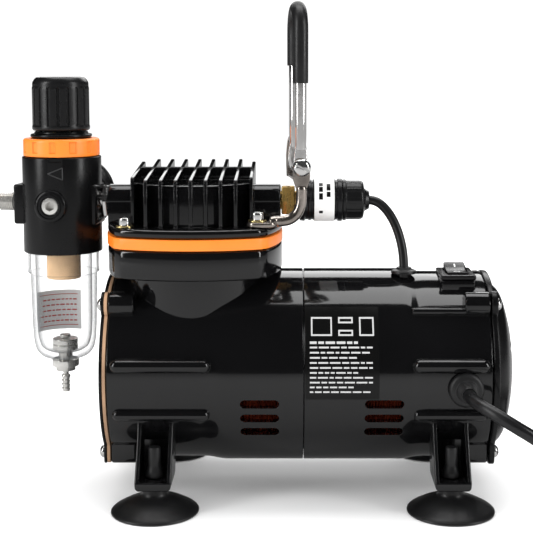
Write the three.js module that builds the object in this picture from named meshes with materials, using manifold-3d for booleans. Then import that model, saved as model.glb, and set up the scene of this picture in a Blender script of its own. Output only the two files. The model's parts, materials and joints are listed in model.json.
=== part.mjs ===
// A small single-cylinder airbrush compressor: a two-part motor housing on suction feet, a finned
// cylinder head with a filter-regulator on its left port and a pressure switch on its right port.
// Millimetres, +Z up, +X to the right along the motor shaft. The front, with the vents and the
// label, faces -Y. The origin is on the floor, under the middle of the compressor.
import * as THREE from 'three';
import { mergeVertices } from 'three/addons/utils/BufferGeometryUtils.js';
import Module from 'manifold-3d';

const wasm = await Module();
wasm.setup();

// ---------------------------------------------------------------- driving dimensions
const GAP = 0.3;                       // left between pieces that touch
const FINE = 28;                       // sides of the largest rounds
const ROUND = 18;
const SMALL = 10;

const AXIS_Z = 61;                     // motor shaft above the floor
const END_R = 46.8;                    // outside of the two end sections
const MID_R = 48.25;                   // outside of the thicker middle section
const BORE_R = 43.6;
const FRONT_END_X = -69.4;
const SEAM_X = 24.8;
const REAR_END_X = 114.8;
const SHOULDERS = { front: [-22.6, -15.2], rear: [81.9, 75.1] };
const BOTTOM_Z = 18;                   // underside of the square lower corners
const CORNER_Y = 33;
const UPPER_BOSSES = [[-31, 97], [31, 97]];
const BOSS_R = 6.2;

const FOOT_X = [-46.4, 95.1];
const FOOT_Y = 47.4;
const CUP_R = 21;
const PLATE_Z = [12.6, 16.8];          // the flat sole of each leg
const LEG_HALF = 8.6;

const VENT_Z = [52, 44.6, 37.2];
const VENT_X = [3.7, 63.1];
const VENT_LENGTH = 18.6;
const VENT_HEIGHT = 4.1;

const STACK_X = [15, 50];              // stator laminations
const STATOR_R = 43;
const ROTOR_R = 23.5;
const SHAFT_R = 4;
const BEARING_R = 11;
const BEARING_X = { front: [-20.4, -13.4], rear: [78.6, 85.6] };

const HEAD_X = -29.5;
const NECK_R = 36;
const FLANGE_Z = [110, 124.4];
const SEAL_Z = [124.7, 130];           // the orange plate
const COVER_Z = [130.3, 134.5];
const PLAN_CORNER = 35.7;              // the flange's corners, out from its centre
const PLAN_BULGE = 43.6;               // the middle of each of its four sides
const FIN_COUNT = 9;
const FIN_PITCH = 7.2;
const FIN_THICK = 1.8;
const FIN_HALF = 33;
const FIN_TOP = [157.4, 163.2];        // at the front and at the back
const PORT_Z = 144.6;                  // both ports of the head
const PORT_R = 8.2;
const HEAD_SCREW = [32, 30];

const THROW = 4;                       // crank radius: half the stroke
const PISTON_R = 15.7;
const LINER_R = 16;

const REG_X = -96.7;
const REG_YAW_DEG = -7;
const REG_YAW = THREE.MathUtils.degToRad(REG_YAW_DEG);
const REG_R = 19.6;
const REG_Z = [119, 167];
const GAUGE_START = 135;               // the needle at zero, turned from straight up

const PIVOT = [23.2, -25, 163.2];
const HANDLE_YAW = THREE.MathUtils.degToRad(7);
const LEG_GAP = 22;                    // between the handle's two legs
const WIRE_R = 2.9;
const SLEEVE_R = 3.75;
const HANDLE_TOP = 239.4;              // centre of the wire at the top of its bend

const SWITCH_R = 10.7;
const CABLE_R = 2.3;
const CABLE_HOLE = [75, -10];

const ROCKER_AT = [101, -9.5, 107.3];  // middle of the rocker switch, where its rim sits

const LEAD_R = 3;
const LEAD_EXIT = [101.8, -58.5, 59.2]; // the outer end of the strain relief
const COIL_CENTRE = [200, -16];
const COIL_MEAN_R = 35.5;
const COIL_HALF = 12.6;                // half the width of four turns side by side
const COIL_HEIGHT = 12.7;

// ---------------------------------------------------------------- solids
function toSolid(geometry) {
  const plain = geometry.clone();
  plain.deleteAttribute('normal');
  plain.deleteAttribute('uv');
  const merged = mergeVertices(plain, 1e-4);
  const at = merged.attributes.position;
  const corners = merged.index.array;
  const triangles = [];
  let volume = 0;
  const [a, b, c] = [new THREE.Vector3(), new THREE.Vector3(), new THREE.Vector3()];
  for (let i = 0; i < corners.length; i += 3) {
    const [p, q, r] = [corners[i], corners[i + 1], corners[i + 2]];
    if (p === q || q === r || p === r) continue;
    triangles.push(p, q, r);
    volume += a.fromBufferAttribute(at, p).dot(b.fromBufferAttribute(at, q).cross(c.fromBufferAttribute(at, r)));
  }
  if (volume < 0) triangles.reverse();
  return new wasm.Manifold(new wasm.Mesh({
    numProp: 3,
    vertProperties: new Float32Array(at.array),
    triVerts: new Uint32Array(triangles),
  }));
}

function toGeometry(solid) {
  const made = solid.getMesh();
  const geometry = new THREE.BufferGeometry();
  geometry.setAttribute('position', new THREE.BufferAttribute(made.vertProperties, 3));
  geometry.setIndex(new THREE.BufferAttribute(made.triVerts, 1));
  geometry.computeVertexNormals();
  return geometry;
}

const around = (half, middle) => [middle - half, middle + half];
const join = (...solids) => solids.reduce((sum, next) => sum.add(next));
const cut = (solid, ...tools) => tools.reduce((left, tool) => left.subtract(tool), solid);

function block([x0, x1], [y0, y1], [z0, z1]) {
  const geometry = new THREE.BoxGeometry(x1 - x0, y1 - y0, z1 - z0);
  geometry.translate((x0 + x1) / 2, (y0 + y1) / 2, (z0 + z1) / 2);
  return toSolid(geometry);
}

// Turns geometry made about its own Z so that its Z lies along the axis named, then moves it.
const TURN_TO = {
  x: new THREE.Matrix4().makeBasis(
    new THREE.Vector3(0, 1, 0), new THREE.Vector3(0, 0, 1), new THREE.Vector3(1, 0, 0)),
  y: new THREE.Matrix4().makeBasis(
    new THREE.Vector3(0, 0, 1), new THREE.Vector3(1, 0, 0), new THREE.Vector3(0, 1, 0)),
  z: new THREE.Matrix4(),
};

// A closed profile of [radius, height] points, turned about an axis through centre.
function turned(axis, centre, profile, sides = ROUND) {
  const closed = profile[0][0] > 0 ? [...profile, profile[0]] : profile;
  const geometry = new THREE.LatheGeometry(closed.map(([r, h]) => new THREE.Vector2(r, h)), sides);
  geometry.rotateX(Math.PI / 2);
  geometry.applyMatrix4(TURN_TO[axis]);
  geometry.translate(...centre);
  return toSolid(geometry);
}

// A round bar along an axis, from low to high, at centre in the other two directions.
function drum(axis, centre, radius, [low, high], sides = ROUND) {
  return turned(axis, centre, [[0, low], [radius, low], [radius, high], [0, high]], sides);
}

function ring(axis, centre, inner, outer, [low, high], sides = ROUND) {
  return turned(axis, centre, [[inner, low], [outer, low], [outer, high], [inner, high]], sides);
}

// A flat outline pushed along an axis. The outline's plane is YZ for x, ZX for y and XY for z.
function prism(axis, outline, [low, high], curveSegments = 8) {
  const geometry = new THREE.ExtrudeGeometry(outline, {
    depth: high - low, bevelEnabled: false, steps: 1, curveSegments,
  });
  geometry.translate(0, 0, low);
  geometry.applyMatrix4(TURN_TO[axis]);
  return toSolid(geometry);
}

function polygon(points) {
  return new THREE.Shape(points.map(([u, v]) => new THREE.Vector2(u, v)));
}

// A slot with round ends, long along v.
function stadium(u, v, length, width) {
  const reach = (length - width) / 2;
  const shape = new THREE.Shape();
  shape.absarc(u, v + reach, width / 2, 0, Math.PI, false);
  shape.absarc(u, v - reach, width / 2, Math.PI, Math.PI * 2, false);
  return shape;
}

function hexagon(u, v, acrossFlats) {
  const radius = acrossFlats / Math.sqrt(3);
  const corners = Array.from({ length: 6 }, (_, i) => i * Math.PI / 3);
  return polygon(corners.map((t) => [u + radius * Math.cos(t), v + radius * Math.sin(t)]));
}

// A round section swept along a smooth line through the points.
function swept(points, radius, steps, sides = 12) {
  const path = new THREE.CatmullRomCurve3(points.map((p) => new THREE.Vector3(...p)), false, 'centripetal');
  const section = Array.from({ length: sides }, (_, i) => i * 2 * Math.PI / sides)
    .map((t) => [radius * Math.cos(t), radius * Math.sin(t)]);
  return toSolid(new THREE.ExtrudeGeometry(polygon(section), { steps, bevelEnabled: false, extrudePath: path }));
}

// ---------------------------------------------------------------- materials
const paint = (color, roughness, metalness = 0) => () => new THREE.MeshStandardMaterial({ color, roughness, metalness });
const GLOSS_BLACK = paint(0x0a0a0b, 0.12);
const CAST_BLACK = paint(0x101011, 0.28);
const PLASTIC_BLACK = paint(0x151516, 0.4);
const RUBBER = paint(0x121213, 0.65);
const ORANGE = paint(0xfb8526, 0.4);
const CHROME = paint(0xd4d6d9, 0.12, 1);
const STEEL = paint(0xb9bcc0, 0.3, 1);
const BRASS = paint(0xc99b4a, 0.32, 1);
const COPPER = paint(0xa8431f, 0.35, 0.6);
const TAN = paint(0xb08a6a, 0.8);
const WHITE = paint(0xe8e8e6, 0.5);
const SINTER = paint(0xcfa873, 0.9);
const CLEAR = paint(0xeef3f4, 0.05);
const LAMINATION = paint(0x8d8f92, 0.45, 1);
const ALUMINIUM = paint(0xc9cbce, 0.4, 1);
const RED = paint(0xc32a1c, 0.4);

const compressor = new THREE.Group();

function add(name, solid, material, parent = compressor) {
  const mesh = new THREE.Mesh(toGeometry(solid), material());
  mesh.name = name;
  parent.add(mesh);
  return mesh;
}

const SHAFT = [0, 0, AXIS_Z];

// ---------------------------------------------------------------- motor housing
function hull(endX, shoulderX, crownX, seamX, grow = 0) {
  const [end, middle] = [END_R + grow, MID_R + grow];
  return turned('x', SHAFT, [[0, endX], [end, endX], [end, shoulderX], [middle, crownX], [middle, seamX], [0, seamX]], FINE);
}

// Long rods cast on the end sections, at four heights on each side.
function castRods([x0, x1]) {
  const rods = [];
  for (const side of [-1, 1]) {
    for (const [z, radius, proud] of [[70.2, 3.4, 0.6], [46, 2.8, 0.4]]) {
      const reach = END_R + proud;
      const y = side * Math.sqrt(reach * reach - (z - AXIS_Z) ** 2);
      rods.push(turned('x', [0, y, z], [
        [0, x0 - radius], [radius, x0], [radius, x1], [0, x1 + radius],
      ], 10));
    }
  }
  return rods;
}

// The bosses that the end covers' screws go into: round ones above, square ones below.
function coverBosses([x0, x1]) {
  const bosses = UPPER_BOSSES.map(([y, z]) => drum('x', [0, y, z], BOSS_R, [x0, x1], SMALL));
  for (const side of [-1, 1]) {
    const low = side < 0 ? [-CORNER_Y, -14] : [14, CORNER_Y];
    bosses.push(block([x0, x1], low, [BOTTOM_Z, 34]));
  }
  return bosses;
}

// A leg: a channel that is open outwards, on a flat sole with rounded lower corners.
function leg(x, side) {
  const outline = polygon([
    [36, PLATE_Z[0]], [57.5, PLATE_Z[0]], [57.5, PLATE_Z[1]], [46, 34], [40.5, 47],
    [30, 45], [30, 24],
  ].map(([y, z]) => [side * y, z]));
  const solid = prism('x', outline, [x - LEG_HALF, x + LEG_HALF]);
  const channelOutline = polygon([[39, PLATE_Z[1]], [62, PLATE_Z[1]], [62, 50], [43, 50], [36, 33]]
    .map(([y, z]) => [side * y, z]));
  const channel = prism('x', channelOutline, [x - LEG_HALF + 1.9, x + LEG_HALF - 1.9]);
  const sole = new THREE.Shape();
  const [low, round] = [PLATE_Z[0], 2.4];
  sole.moveTo(low + 60, x - LEG_HALF);
  sole.lineTo(low + round, x - LEG_HALF);
  sole.absarc(low + round, x - LEG_HALF + round, round, -Math.PI / 2, -Math.PI, true);
  sole.absarc(low + round, x + LEG_HALF - round, round, Math.PI, Math.PI / 2, true);
  sole.lineTo(low + 60, x + LEG_HALF);
  const rounded = prism('y', sole, [-70, 70], 3);
  const hole = drum('z', [x, side * FOOT_Y, 0], 3.2, [0, 25], SMALL);
  return cut(solid.intersect(rounded), channel, hole);
}

function ventTools(x) {
  return VENT_Z.map((z) => prism('y', stadium(z, x, VENT_LENGTH, VENT_HEIGHT), [-60, 60], 3));
}

function bearingWall([x0, x1]) {
  const middle = (x0 + x1) / 2;
  return turned('x', SHAFT, [
    [BEARING_R + GAP + 0.2, x0], [BORE_R + 1, x0], [BORE_R + 1, middle], [15, middle],
    [15, x1], [BEARING_R + GAP + 0.2, x1],
  ], FINE);
}

function housingHalf(which) {
  const front = which === 'front';
  const endX = front ? FRONT_END_X : REAR_END_X;
  const seamX = front ? SEAM_X - GAP / 2 : SEAM_X + GAP / 2;
  const [shoulderX, crownX] = SHOULDERS[which];
  const inside = front ? 1 : -1;
  const span = (from, to) => [from, to].sort((a, b) => a - b);
  const footX = FOOT_X[front ? 0 : 1];
  const bosses = coverBosses(span(endX, endX + inside * 12.5));
  const rods = castRods(front ? [-64, -23] : [80, 110]);
  const ledges = front ? [] : [-1, 1].map((side) => drum('x', [0, side * 34.4, 94.2], 1.8, [77, 103], 6));
  const legs = [-1, 1].map((side) => leg(footX, side));
  const bore = drum('x', SHAFT, BORE_R, span(endX - inside, seamX + inside), FINE);
  let solid = cut(join(hull(endX, shoulderX, crownX, seamX), ...bosses, ...rods, ...ledges, ...legs), bore);
  solid = join(solid, bearingWall(front ? BEARING_X.front : BEARING_X.rear));
  return cut(solid, ...ventTools(VENT_X[front ? 0 : 1]));
}

function frontHousing() {
  const cylinderHole = drum('z', [HEAD_X, 0, 0], 22, [AXIS_Z, 125], ROUND);
  return cut(housingHalf('front'), cylinderHole);
}

function rearHousing() {
  const [cableX, cableY] = CABLE_HOLE;
  const cableHole = drum('z', [cableX, cableY, 0], 3.6, [95, 120], SMALL);
  const [switchX, switchY] = ROCKER_AT;
  const switchHole = block(around(7.1, switchX), around(11.1, switchY), [88, 120]);
  const seat = block(around(8.8, switchX), around(13.2, switchY), [98, ROCKER_AT[2] - GAP]);
  const leadHole = drum('y', [LEAD_EXIT[0], 0, LEAD_EXIT[2]], 6.3, [-60, -30], SMALL);
  const leadFace = drum('y', [LEAD_EXIT[0], 0, LEAD_EXIT[2]], 8.8, [-60, -46.8], SMALL);
  const bore = drum('x', SHAFT, BORE_R, [90, 112], FINE);
  const flat = block(around(9, switchX), around(13.4, switchY), [ROCKER_AT[2] - GAP, 120]);
  const solid = join(housingHalf('rear'), cut(seat, bore));
  return cut(solid, flat, cableHole, switchHole, leadHole, leadFace);
}

add('front_housing', frontHousing(), GLOSS_BLACK);
add('rear_housing', rearHousing(), GLOSS_BLACK);

// ---------------------------------------------------------------- end covers
// The end sections' outline: round above, with square corners below.
function endOutline(grow) {
  const radius = END_R + grow;
  const [y, z] = [CORNER_Y + grow, BOTTOM_Z - grow];
  const side = Math.sqrt(radius * radius - y * y);
  const shape = new THREE.Shape();
  shape.moveTo(-y, z);
  shape.lineTo(y, z);
  shape.lineTo(y, AXIS_Z - side);
  shape.absarc(0, AXIS_Z, radius, -Math.atan2(side, y), Math.PI + Math.atan2(side, y), false);
  shape.lineTo(-y, z);
  return shape;
}

function plate([x0, x1], grow) {
  const ears = UPPER_BOSSES.map(([y, z]) => drum('x', [0, y, z], BOSS_R + grow, [x0, x1], SMALL));
  return join(prism('x', endOutline(grow), [x0, x1], 20), ...ears);
}

function frontGasket() {
  return cut(plate([-71.2, -69.7], -0.2), drum('x', SHAFT, 38, [-75, -65], ROUND));
}

function frontCover() {
  const dish = turned('x', SHAFT, [[0, -74.4], [24, -74.4], [30, -72.2], [0, -72.2]], ROUND);
  return join(plate([-72.8, -71.5], 0), dish);
}

// The rear cover: a flange and a shallow dome with long air slots round its middle.
function rearCover() {
  const flange = plate([115.1, 118.2], 0.4);
  const dome = turned('x', SHAFT, [
    [0, 129.3], [24, 128], [38, 123.8], [43, 117.5], [40.6, 117.5], [36.4, 121.8], [23, 125.7], [0, 126.9],
  ], 24);
  const opening = drum('x', SHAFT, 40.6, [110, 118.5], 24);
  const slots = Array.from({ length: 6 }, (_, i) => {
    const slot = toSolid(new THREE.BoxGeometry(30, 4, 14).translate(124, 0, 24));
    return slot.rotate([i * 60, 0, 0]).translate(SHAFT);
  });
  return cut(join(cut(flange, opening), dome), ...slots);
}

add('front_gasket', frontGasket(), TAN);
add('front_cover', frontCover(), CAST_BLACK);
add('rear_cover', rearCover(), CAST_BLACK);

// ---------------------------------------------------------------- suction feet
// Each cup's stem goes up through the sole and swells above it, which holds the cup.
function cup(x, y) {
  const [sole, top] = PLATE_Z;
  return turned('z', [x, y, 0], [
    [0, 0], [CUP_R, 0], [CUP_R, 1.3], [14.5, 5.4], [7, 7.9],
    [5.6, 8.8], [5.6, sole - GAP], [2.9, sole - GAP], [2.9, top + GAP], [3.7, top + GAP], [2.3, 31.6], [0, 31.6],
  ], 16);
}

for (const [end, x] of [['left', FOOT_X[0]], ['right', FOOT_X[1]]]) {
  for (const [side, y] of [['front', -FOOT_Y], ['back', FOOT_Y]]) {
    add(`suction_foot_${end}_${side}`, cup(x, y), RUBBER);
  }
}

// ---------------------------------------------------------------- motor
function stator() {
  const stack = ring('x', SHAFT, ROTOR_R + 0.6, STATOR_R, STACK_X, ROUND);
  const slots = Array.from({ length: 4 }, (_, i) => (
    toSolid(new THREE.BoxGeometry(60, 5, 13).translate(32.5, 0, 30)).rotate([i * 90, 0, 0]).translate(SHAFT)
  ));
  return cut(stack, ...slots);
}

function winding([x0, x1]) {
  return turned('x', SHAFT, [
    [26, x0], [37, x0], [40.5, x0 + 4], [40.5, x1 - 1], [26, x1 - 1],
  ], ROUND);
}

function rotorShaft() {
  return drum('x', SHAFT, SHAFT_R, [-23.4, 106], SMALL);
}

function rotor() {
  return ring('x', SHAFT, SHAFT_R + 0.15, ROTOR_R, [STACK_X[0] - 2, STACK_X[1] + 2], ROUND);
}

function bearing([x0, x1]) {
  return turned('x', SHAFT, [
    [SHAFT_R + 0.05, x0], [BEARING_R, x0], [BEARING_R, x1], [SHAFT_R + 0.05, x1],
  ], 18);
}

// A hub with six straight blades on a thin back plate.
function fan() {
  const hub = ring('x', SHAFT, SHAFT_R + 0.15, 9, [92, 104], SMALL);
  const back = ring('x', SHAFT, 8, 33, [92, 93.6], ROUND);
  const blades = Array.from({ length: 6 }, (_, i) => (
    toSolid(new THREE.BoxGeometry(11, 1.6, 25).translate(98.5, 0, 20)).rotate([i * 60, 0, 0]).translate(SHAFT)
  ));
  return join(hub, back, ...blades);
}

// The crank: a web on the shaft's end with its pin and a balance weight opposite.
function crank() {
  const hub = drum('x', SHAFT, 9.5, [-25.7, -23.7], SMALL);
  const weight = prism('x', polygon([[-12, -7], [0, -9], [0, 9], [-12, 7]]), [-25.7, -23.7]).translate(SHAFT);
  const pin = drum('x', [0, THROW, AXIS_Z], 3, [-33.2, -25], SMALL);
  return join(hub, weight, pin);
}

add('stator_laminations', stator(), LAMINATION);
add('stator_winding_front', winding([-6.5, STACK_X[0]]), COPPER);
add('stator_winding_rear', winding([STACK_X[1] + 23.5, STACK_X[1]].sort((a, b) => a - b)), COPPER);
add('rotor', rotor(), ALUMINIUM);
add('rotor_shaft', rotorShaft(), STEEL);
add('bearing_front', bearing(BEARING_X.front), STEEL);
add('bearing_rear', bearing(BEARING_X.rear), STEEL);
add('cooling_fan', fan(), PLASTIC_BLACK);
add('crank', crank(), STEEL);

// ---------------------------------------------------------------- cylinder
// The outline that the flange, the orange plate and the cover share, seen from above: four bulging
// sides that meet at soft corners.
function headPlan(grow = 0) {
  const [bulge, corner] = [PLAN_BULGE + grow, PLAN_CORNER + grow];
  const sagitta = bulge - corner;
  const arcR = (corner * corner + sagitta * sagitta) / (2 * sagitta);
  const half = Math.asin(corner / arcR) * 0.93;
  const steps = 5;
  const points = [];
  for (let side = 0; side < 4; side += 1) {
    for (let step = 0; step <= steps; step += 1) {
      const t = half * (2 * step / steps - 1);
      const point = new THREE.Vector2(arcR * Math.cos(t) - (arcR - bulge), arcR * Math.sin(t));
      point.rotateAround(new THREE.Vector2(), side * Math.PI / 2);
      points.push([HEAD_X + point.x, point.y]);
    }
  }
  return polygon(points);
}

const HEAD_SCREWS = [[-1, -1], [1, -1], [-1, 1], [1, 1]]
  .map(([sx, sy]) => [HEAD_X + sx * HEAD_SCREW[0], sy * HEAD_SCREW[1]]);
const onHead = (radius, span, sides = ROUND) => drum('z', [HEAD_X, 0, 0], radius, span, sides);
const headScrewHoles = (radius, span) => HEAD_SCREWS.map(([x, y]) => drum('z', [x, y, 0], radius, span, 8));

// The neck ends on the round housing; a spigot goes on down through the housing's hole.
function cylinderBlock() {
  const [low, high] = FLANGE_Z;
  const flange = prism('z', headPlan(), [low, high]);
  const neck = cut(onHead(NECK_R, [AXIS_Z, low + 1], FINE), hull(FRONT_END_X, ...SHOULDERS.front, SEAM_X, GAP));
  const spigot = onHead(21.6, [92, low + 1]);
  const bore = onHead(18.3, [80, 130]);
  return cut(join(flange, neck, spigot), bore, ...headScrewHoles(2.2, [high - 10, high + 1]));
}

const liner = () => ring('z', [HEAD_X, 0, 0], LINER_R + 0.2, 18, [92, FLANGE_Z[1] - GAP]);

function sealPlate() {
  return cut(prism('z', headPlan(0.3), SEAL_Z), onHead(22, [120, 135]), ...headScrewHoles(2.8, [120, 135]));
}

function valvePlate() {
  const ports = [-9, 9].map((dx) => drum('z', [HEAD_X + dx, 0, 0], 3, [120, 130], 16));
  return cut(onHead(21.6, [SEAL_Z[0] + 0.1, SEAL_Z[0] + 2.9]), ...ports);
}

// ---------------------------------------------------------------- finned head
const finTopAt = (y) => THREE.MathUtils.mapLinear(y, -FIN_HALF, FIN_HALF, ...FIN_TOP);

function fin(index) {
  const outermost = index === 0 || index === FIN_COUNT - 1;
  const half = outermost ? FIN_HALF - 8 : FIN_HALF;
  const x = HEAD_X + (index - (FIN_COUNT - 1) / 2) * FIN_PITCH;
  const outline = polygon([
    [-half, COVER_Z[1] - 1], [half, COVER_Z[1] - 1], [half, finTopAt(half)],
    [1.2 - half, finTopAt(-half)], [-half, finTopAt(-half) - 1.2],
  ]);
  return prism('x', outline, [x - FIN_THICK / 2, x + FIN_THICK / 2]);
}

function finnedHead() {
  const base = COVER_Z[1];
  const cover = prism('z', headPlan(), COVER_Z);
  const core = onHead(31.2, [base - 1, 154.5], 20).intersect(block([HEAD_X - 29.6, HEAD_X + 29.6], [-40, 40], [100, 180]));
  const ridge = block([HEAD_X - 28.8, HEAD_X + 28.8], [4.5, 8], [base, 160.9]);
  const fins = Array.from({ length: FIN_COUNT }, (_, i) => fin(i));
  const ports = [[-43.4, -20], [20, 43]].flatMap(([from, to]) => {
    const span = [HEAD_X + from, HEAD_X + to];
    return [drum('x', [0, 0, PORT_Z], PORT_R, span, 14), block(span, [-PORT_R, PORT_R], [base - 1, PORT_Z])];
  });
  const bore = drum('x', [0, 0, PORT_Z], 5, [HEAD_X - 60, HEAD_X + 60], SMALL);
  const chamber = onHead(17, [100, 142], ROUND);
  return cut(join(cover, core, ridge, ...fins, ...ports), bore, chamber, ...headScrewHoles(2.8, [100, base + 1]));
}

// A socket-head screw standing on z, its shank going down.
function headScrew([x, y], z) {
  return turned('z', [x, y, z], [
    [0, -17], [1.9, -17], [1.9, 0], [4.4, 0], [4.4, 0.8], [2.9, 0.8], [2.9, 4.4], [2.2, 5], [0, 5],
  ], 10);
}

add('cylinder_block', cylinderBlock(), GLOSS_BLACK);
add('cylinder_liner', liner(), STEEL);
add('valve_plate', valvePlate(), STEEL);
add('orange_seal_plate', sealPlate(), ORANGE);
add('finned_head', finnedHead(), GLOSS_BLACK);

// ---------------------------------------------------------------- piston
const EYE_Z = 108;                     // wrist pin at the middle of the stroke

function connectingRod() {
  const span = [HEAD_X - 3.5, HEAD_X + 3.2];
  const bigEnd = drum('x', SHAFT, 15, span, 20);
  const eye = drum('x', [0, 0, EYE_Z], 5.2, span, SMALL);
  const shank = block([HEAD_X - 2.4, HEAD_X + 2.2], [-4.2, 4.2], [AXIS_Z + 13, EYE_Z - 4]);
  const openings = [drum('x', SHAFT, 11.8, [-60, 0], 20), drum('x', [0, 0, EYE_Z], 2.9, [-60, 0], 10)];
  return cut(join(bigEnd, eye, shank), ...openings);
}

function piston() {
  const body = turned('z', [HEAD_X, 0, 0], [
    [13.2, 104], [PISTON_R, 104], [PISTON_R, 115.2], [14, 115.2], [14, 117.6],
    [PISTON_R, 117.6], [PISTON_R, 119.5], [0, 119.5], [0, 115], [13.2, 115],
  ], 16);
  return cut(body, drum('x', [0, 0, EYE_Z], 2.9, [-60, 0], 8));
}

const pistonRing = () => ring('z', [HEAD_X, 0, 0], 14.2, LINER_R - 0.05, [115.5, 117.3]);
const wristPin = () => drum('x', [0, 0, EYE_Z], 2.5, [HEAD_X - 14.5, HEAD_X + 14.5], 10);

add('connecting_rod', connectingRod(), ALUMINIUM);
add('piston', piston(), ALUMINIUM);
add('piston_ring', pistonRing(), WHITE);
add('wrist_pin', wristPin(), STEEL);

// ---------------------------------------------------------------- pressure switch
const SWITCH = [0, 0, PORT_Z];

function brassFitting() {
  const hex = prism('x', hexagon(0, PORT_Z, 13.8), [14, 19]);
  const thread = drum('x', SWITCH, 4.6, [6, 22.6], SMALL);
  return join(hex, thread);
}

function switchBody() {
  return turned('x', SWITCH, [
    [0, 22.9], [SWITCH_R - 0.3, 22.9], [SWITCH_R, 23.3], [SWITCH_R, 25.6], [9.9, 25.9],
    [9.9, 29.8], [SWITCH_R, 30], [SWITCH_R, 44.3], [0, 44.3],
  ]);
}

// The cap that the cable comes out of.
function switchCap() {
  return turned('x', SWITCH, [
    [0, 44.6], [10.2, 44.6], [10.2, 54], [9.4, 54.9], [5.4, 55.6], [4.4, 58], [2.6, 58], [2.6, 50], [0, 50],
  ]);
}

const CABLE_ROUTE = [
  [50.6, 0, PORT_Z], [58, 0, PORT_Z], [62.5, -0.8, 143.4], [66.6, -2.4, 139.8], [70.2, -4.6, 134.2],
  [73, -7, 126.8], [74.6, -9, 118.6], [75, -10, 111], [75, -10, 103],
];

function cableGrommet() {
  const [x, y] = CABLE_HOLE;
  return turned('z', [x, y, 0], [
    [2.6, 104.2], [3.3, 104.2], [3.3, 109.5], [6.3, 109.5], [6.1, 110.5], [3.6, 111.8], [2.6, 111.8],
  ], 16);
}

add('port_fitting', brassFitting(), BRASS);
add('pressure_switch', switchBody(), PLASTIC_BLACK);
add('pressure_switch_cap', switchCap(), PLASTIC_BLACK);
add('pressure_switch_cable', swept(CABLE_ROUTE, CABLE_R, 18, 8), RUBBER);
add('cable_grommet', cableGrommet(), RUBBER);

// ---------------------------------------------------------------- folding handle
// Everything here is in the pivot's own frame: its origin is on the pivot axis at the near leg, and
// its Y runs along the axis, towards the far leg.
const pivotFrame = new THREE.Group();
pivotFrame.position.set(...PIVOT);
pivotFrame.rotation.z = HANDLE_YAW;
compressor.add(pivotFrame);

const TONGUE_Y = [-4.6, -2.9];         // the bracket's near ear, outside the near leg's eye
const FAR_EAR_Y = [LEG_GAP + 3.3, LEG_GAP + 5];
const EYE_HALF = 1.4;

function intoPivotFrame([x, y]) {
  return new THREE.Vector2(x - PIVOT[0], y - PIVOT[1]).rotateAround(new THREE.Vector2(), -HANDLE_YAW);
}

// The bracket: an eye under the head's screw, a bent rod, a flat near ear, a bridge and a far ear.
function handleBracket() {
  const eye = intoPivotFrame(HEAD_SCREWS[1]);
  const eyeZ = [COVER_Z[1] + GAP - PIVOT[2], COVER_Z[1] + GAP + 2.4 - PIVOT[2]];
  const rodZ = eyeZ[0] + 2.6;
  const earMid = (TONGUE_Y[0] + TONGUE_Y[1]) / 2;
  const pad = join(drum('z', [eye.x, eye.y, 0], 5, eyeZ, 16), block([eye.x, eye.x + 9], [eye.y - 3.2, eye.y + 3.2], eyeZ));
  const bent = [[eye.x + 7.5, eye.y - 0.4, rodZ], [-10.5, earMid, rodZ], [-5.6, earMid, rodZ + 0.9], [-2.2, earMid, rodZ + 3.6],
    [-0.5, earMid, rodZ + 7.6], [0, earMid, rodZ + 12], [0, earMid, -10.2]];
  const rod = swept(bent, 2.6, 14, 8);
  const ear = prism('y', polygon([[-11.5, -2.4], [-4, -3.9], [1, -3.9], [3.4, -2.2], [3.9, 0], [3.4, 2.2], [1, 3.9], [-4, 3.9],
    [-11.5, 2.4]]), TONGUE_Y);
  const bridge = block([-3.2, 3.2], [TONGUE_Y[0], FAR_EAR_Y[1]], [-6.6, -4.9]);
  const farEar = prism('y', polygon([[-6.6, -3.6], [4, -3.9], [12, -3.2], [17.4, -0.4], [17.4, 1.2], [12, 2.8],
    [4, 3.9], [-6.6, 3.6]]), FAR_EAR_Y);
  const hole = drum('y', [0, 0, 0], 2.4, [-10, 40], SMALL);
  const screwHole = drum('z', [eye.x, eye.y, 0], 2.6, [-60, 0], SMALL);
  return cut(join(pad, rod, ear, bridge, farEar), hole, screwHole);
}

// The bent wire, with a flat eye at the foot of each leg.
function handlePath(nearZ, farZ) {
  const bend = LEG_GAP / 2;
  const top = HANDLE_TOP - PIVOT[2];
  const arch = Array.from({ length: 9 }, (_, i) => Math.PI * (1 - i / 8))
    .map((t) => [0, bend + bend * Math.cos(t), top - bend + bend * Math.sin(t)]);
  const straight = [0.35, 0.7].map((share) => share * (top - bend));
  const near = [nearZ, ...straight.filter((z) => z > nearZ + 4)].map((z) => [0, 0, z]);
  const far = [farZ, ...straight.filter((z) => z > farZ + 4)].map((z) => [0, LEG_GAP, z]).reverse();
  return [...near, ...arch, ...far];
}

function handleWire() {
  const wire = swept(handlePath(8, 8), WIRE_R, 20, 8);
  const eyes = [0, LEG_GAP].map((y) => join(
    drum('y', [0, 0, 0], 3.6, [y - EYE_HALF, y + EYE_HALF], 16),
    prism('y', polygon([[0, -3.6], [8, -3], [10.5, -2.4], [10.5, 2.4], [8, 3], [0, 3.6]]), [y - EYE_HALF, y + EYE_HALF])));
  return cut(join(wire, ...eyes), drum('y', [0, 0, 0], 2.4, [-10, 40], SMALL));
}

function handleSleeve() {
  const inner = swept(handlePath(8, 8), WIRE_R + 0.35, 20, 8);
  return cut(swept(handlePath(40.4, 48.8), SLEEVE_R, 16, 8), inner);
}

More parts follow.
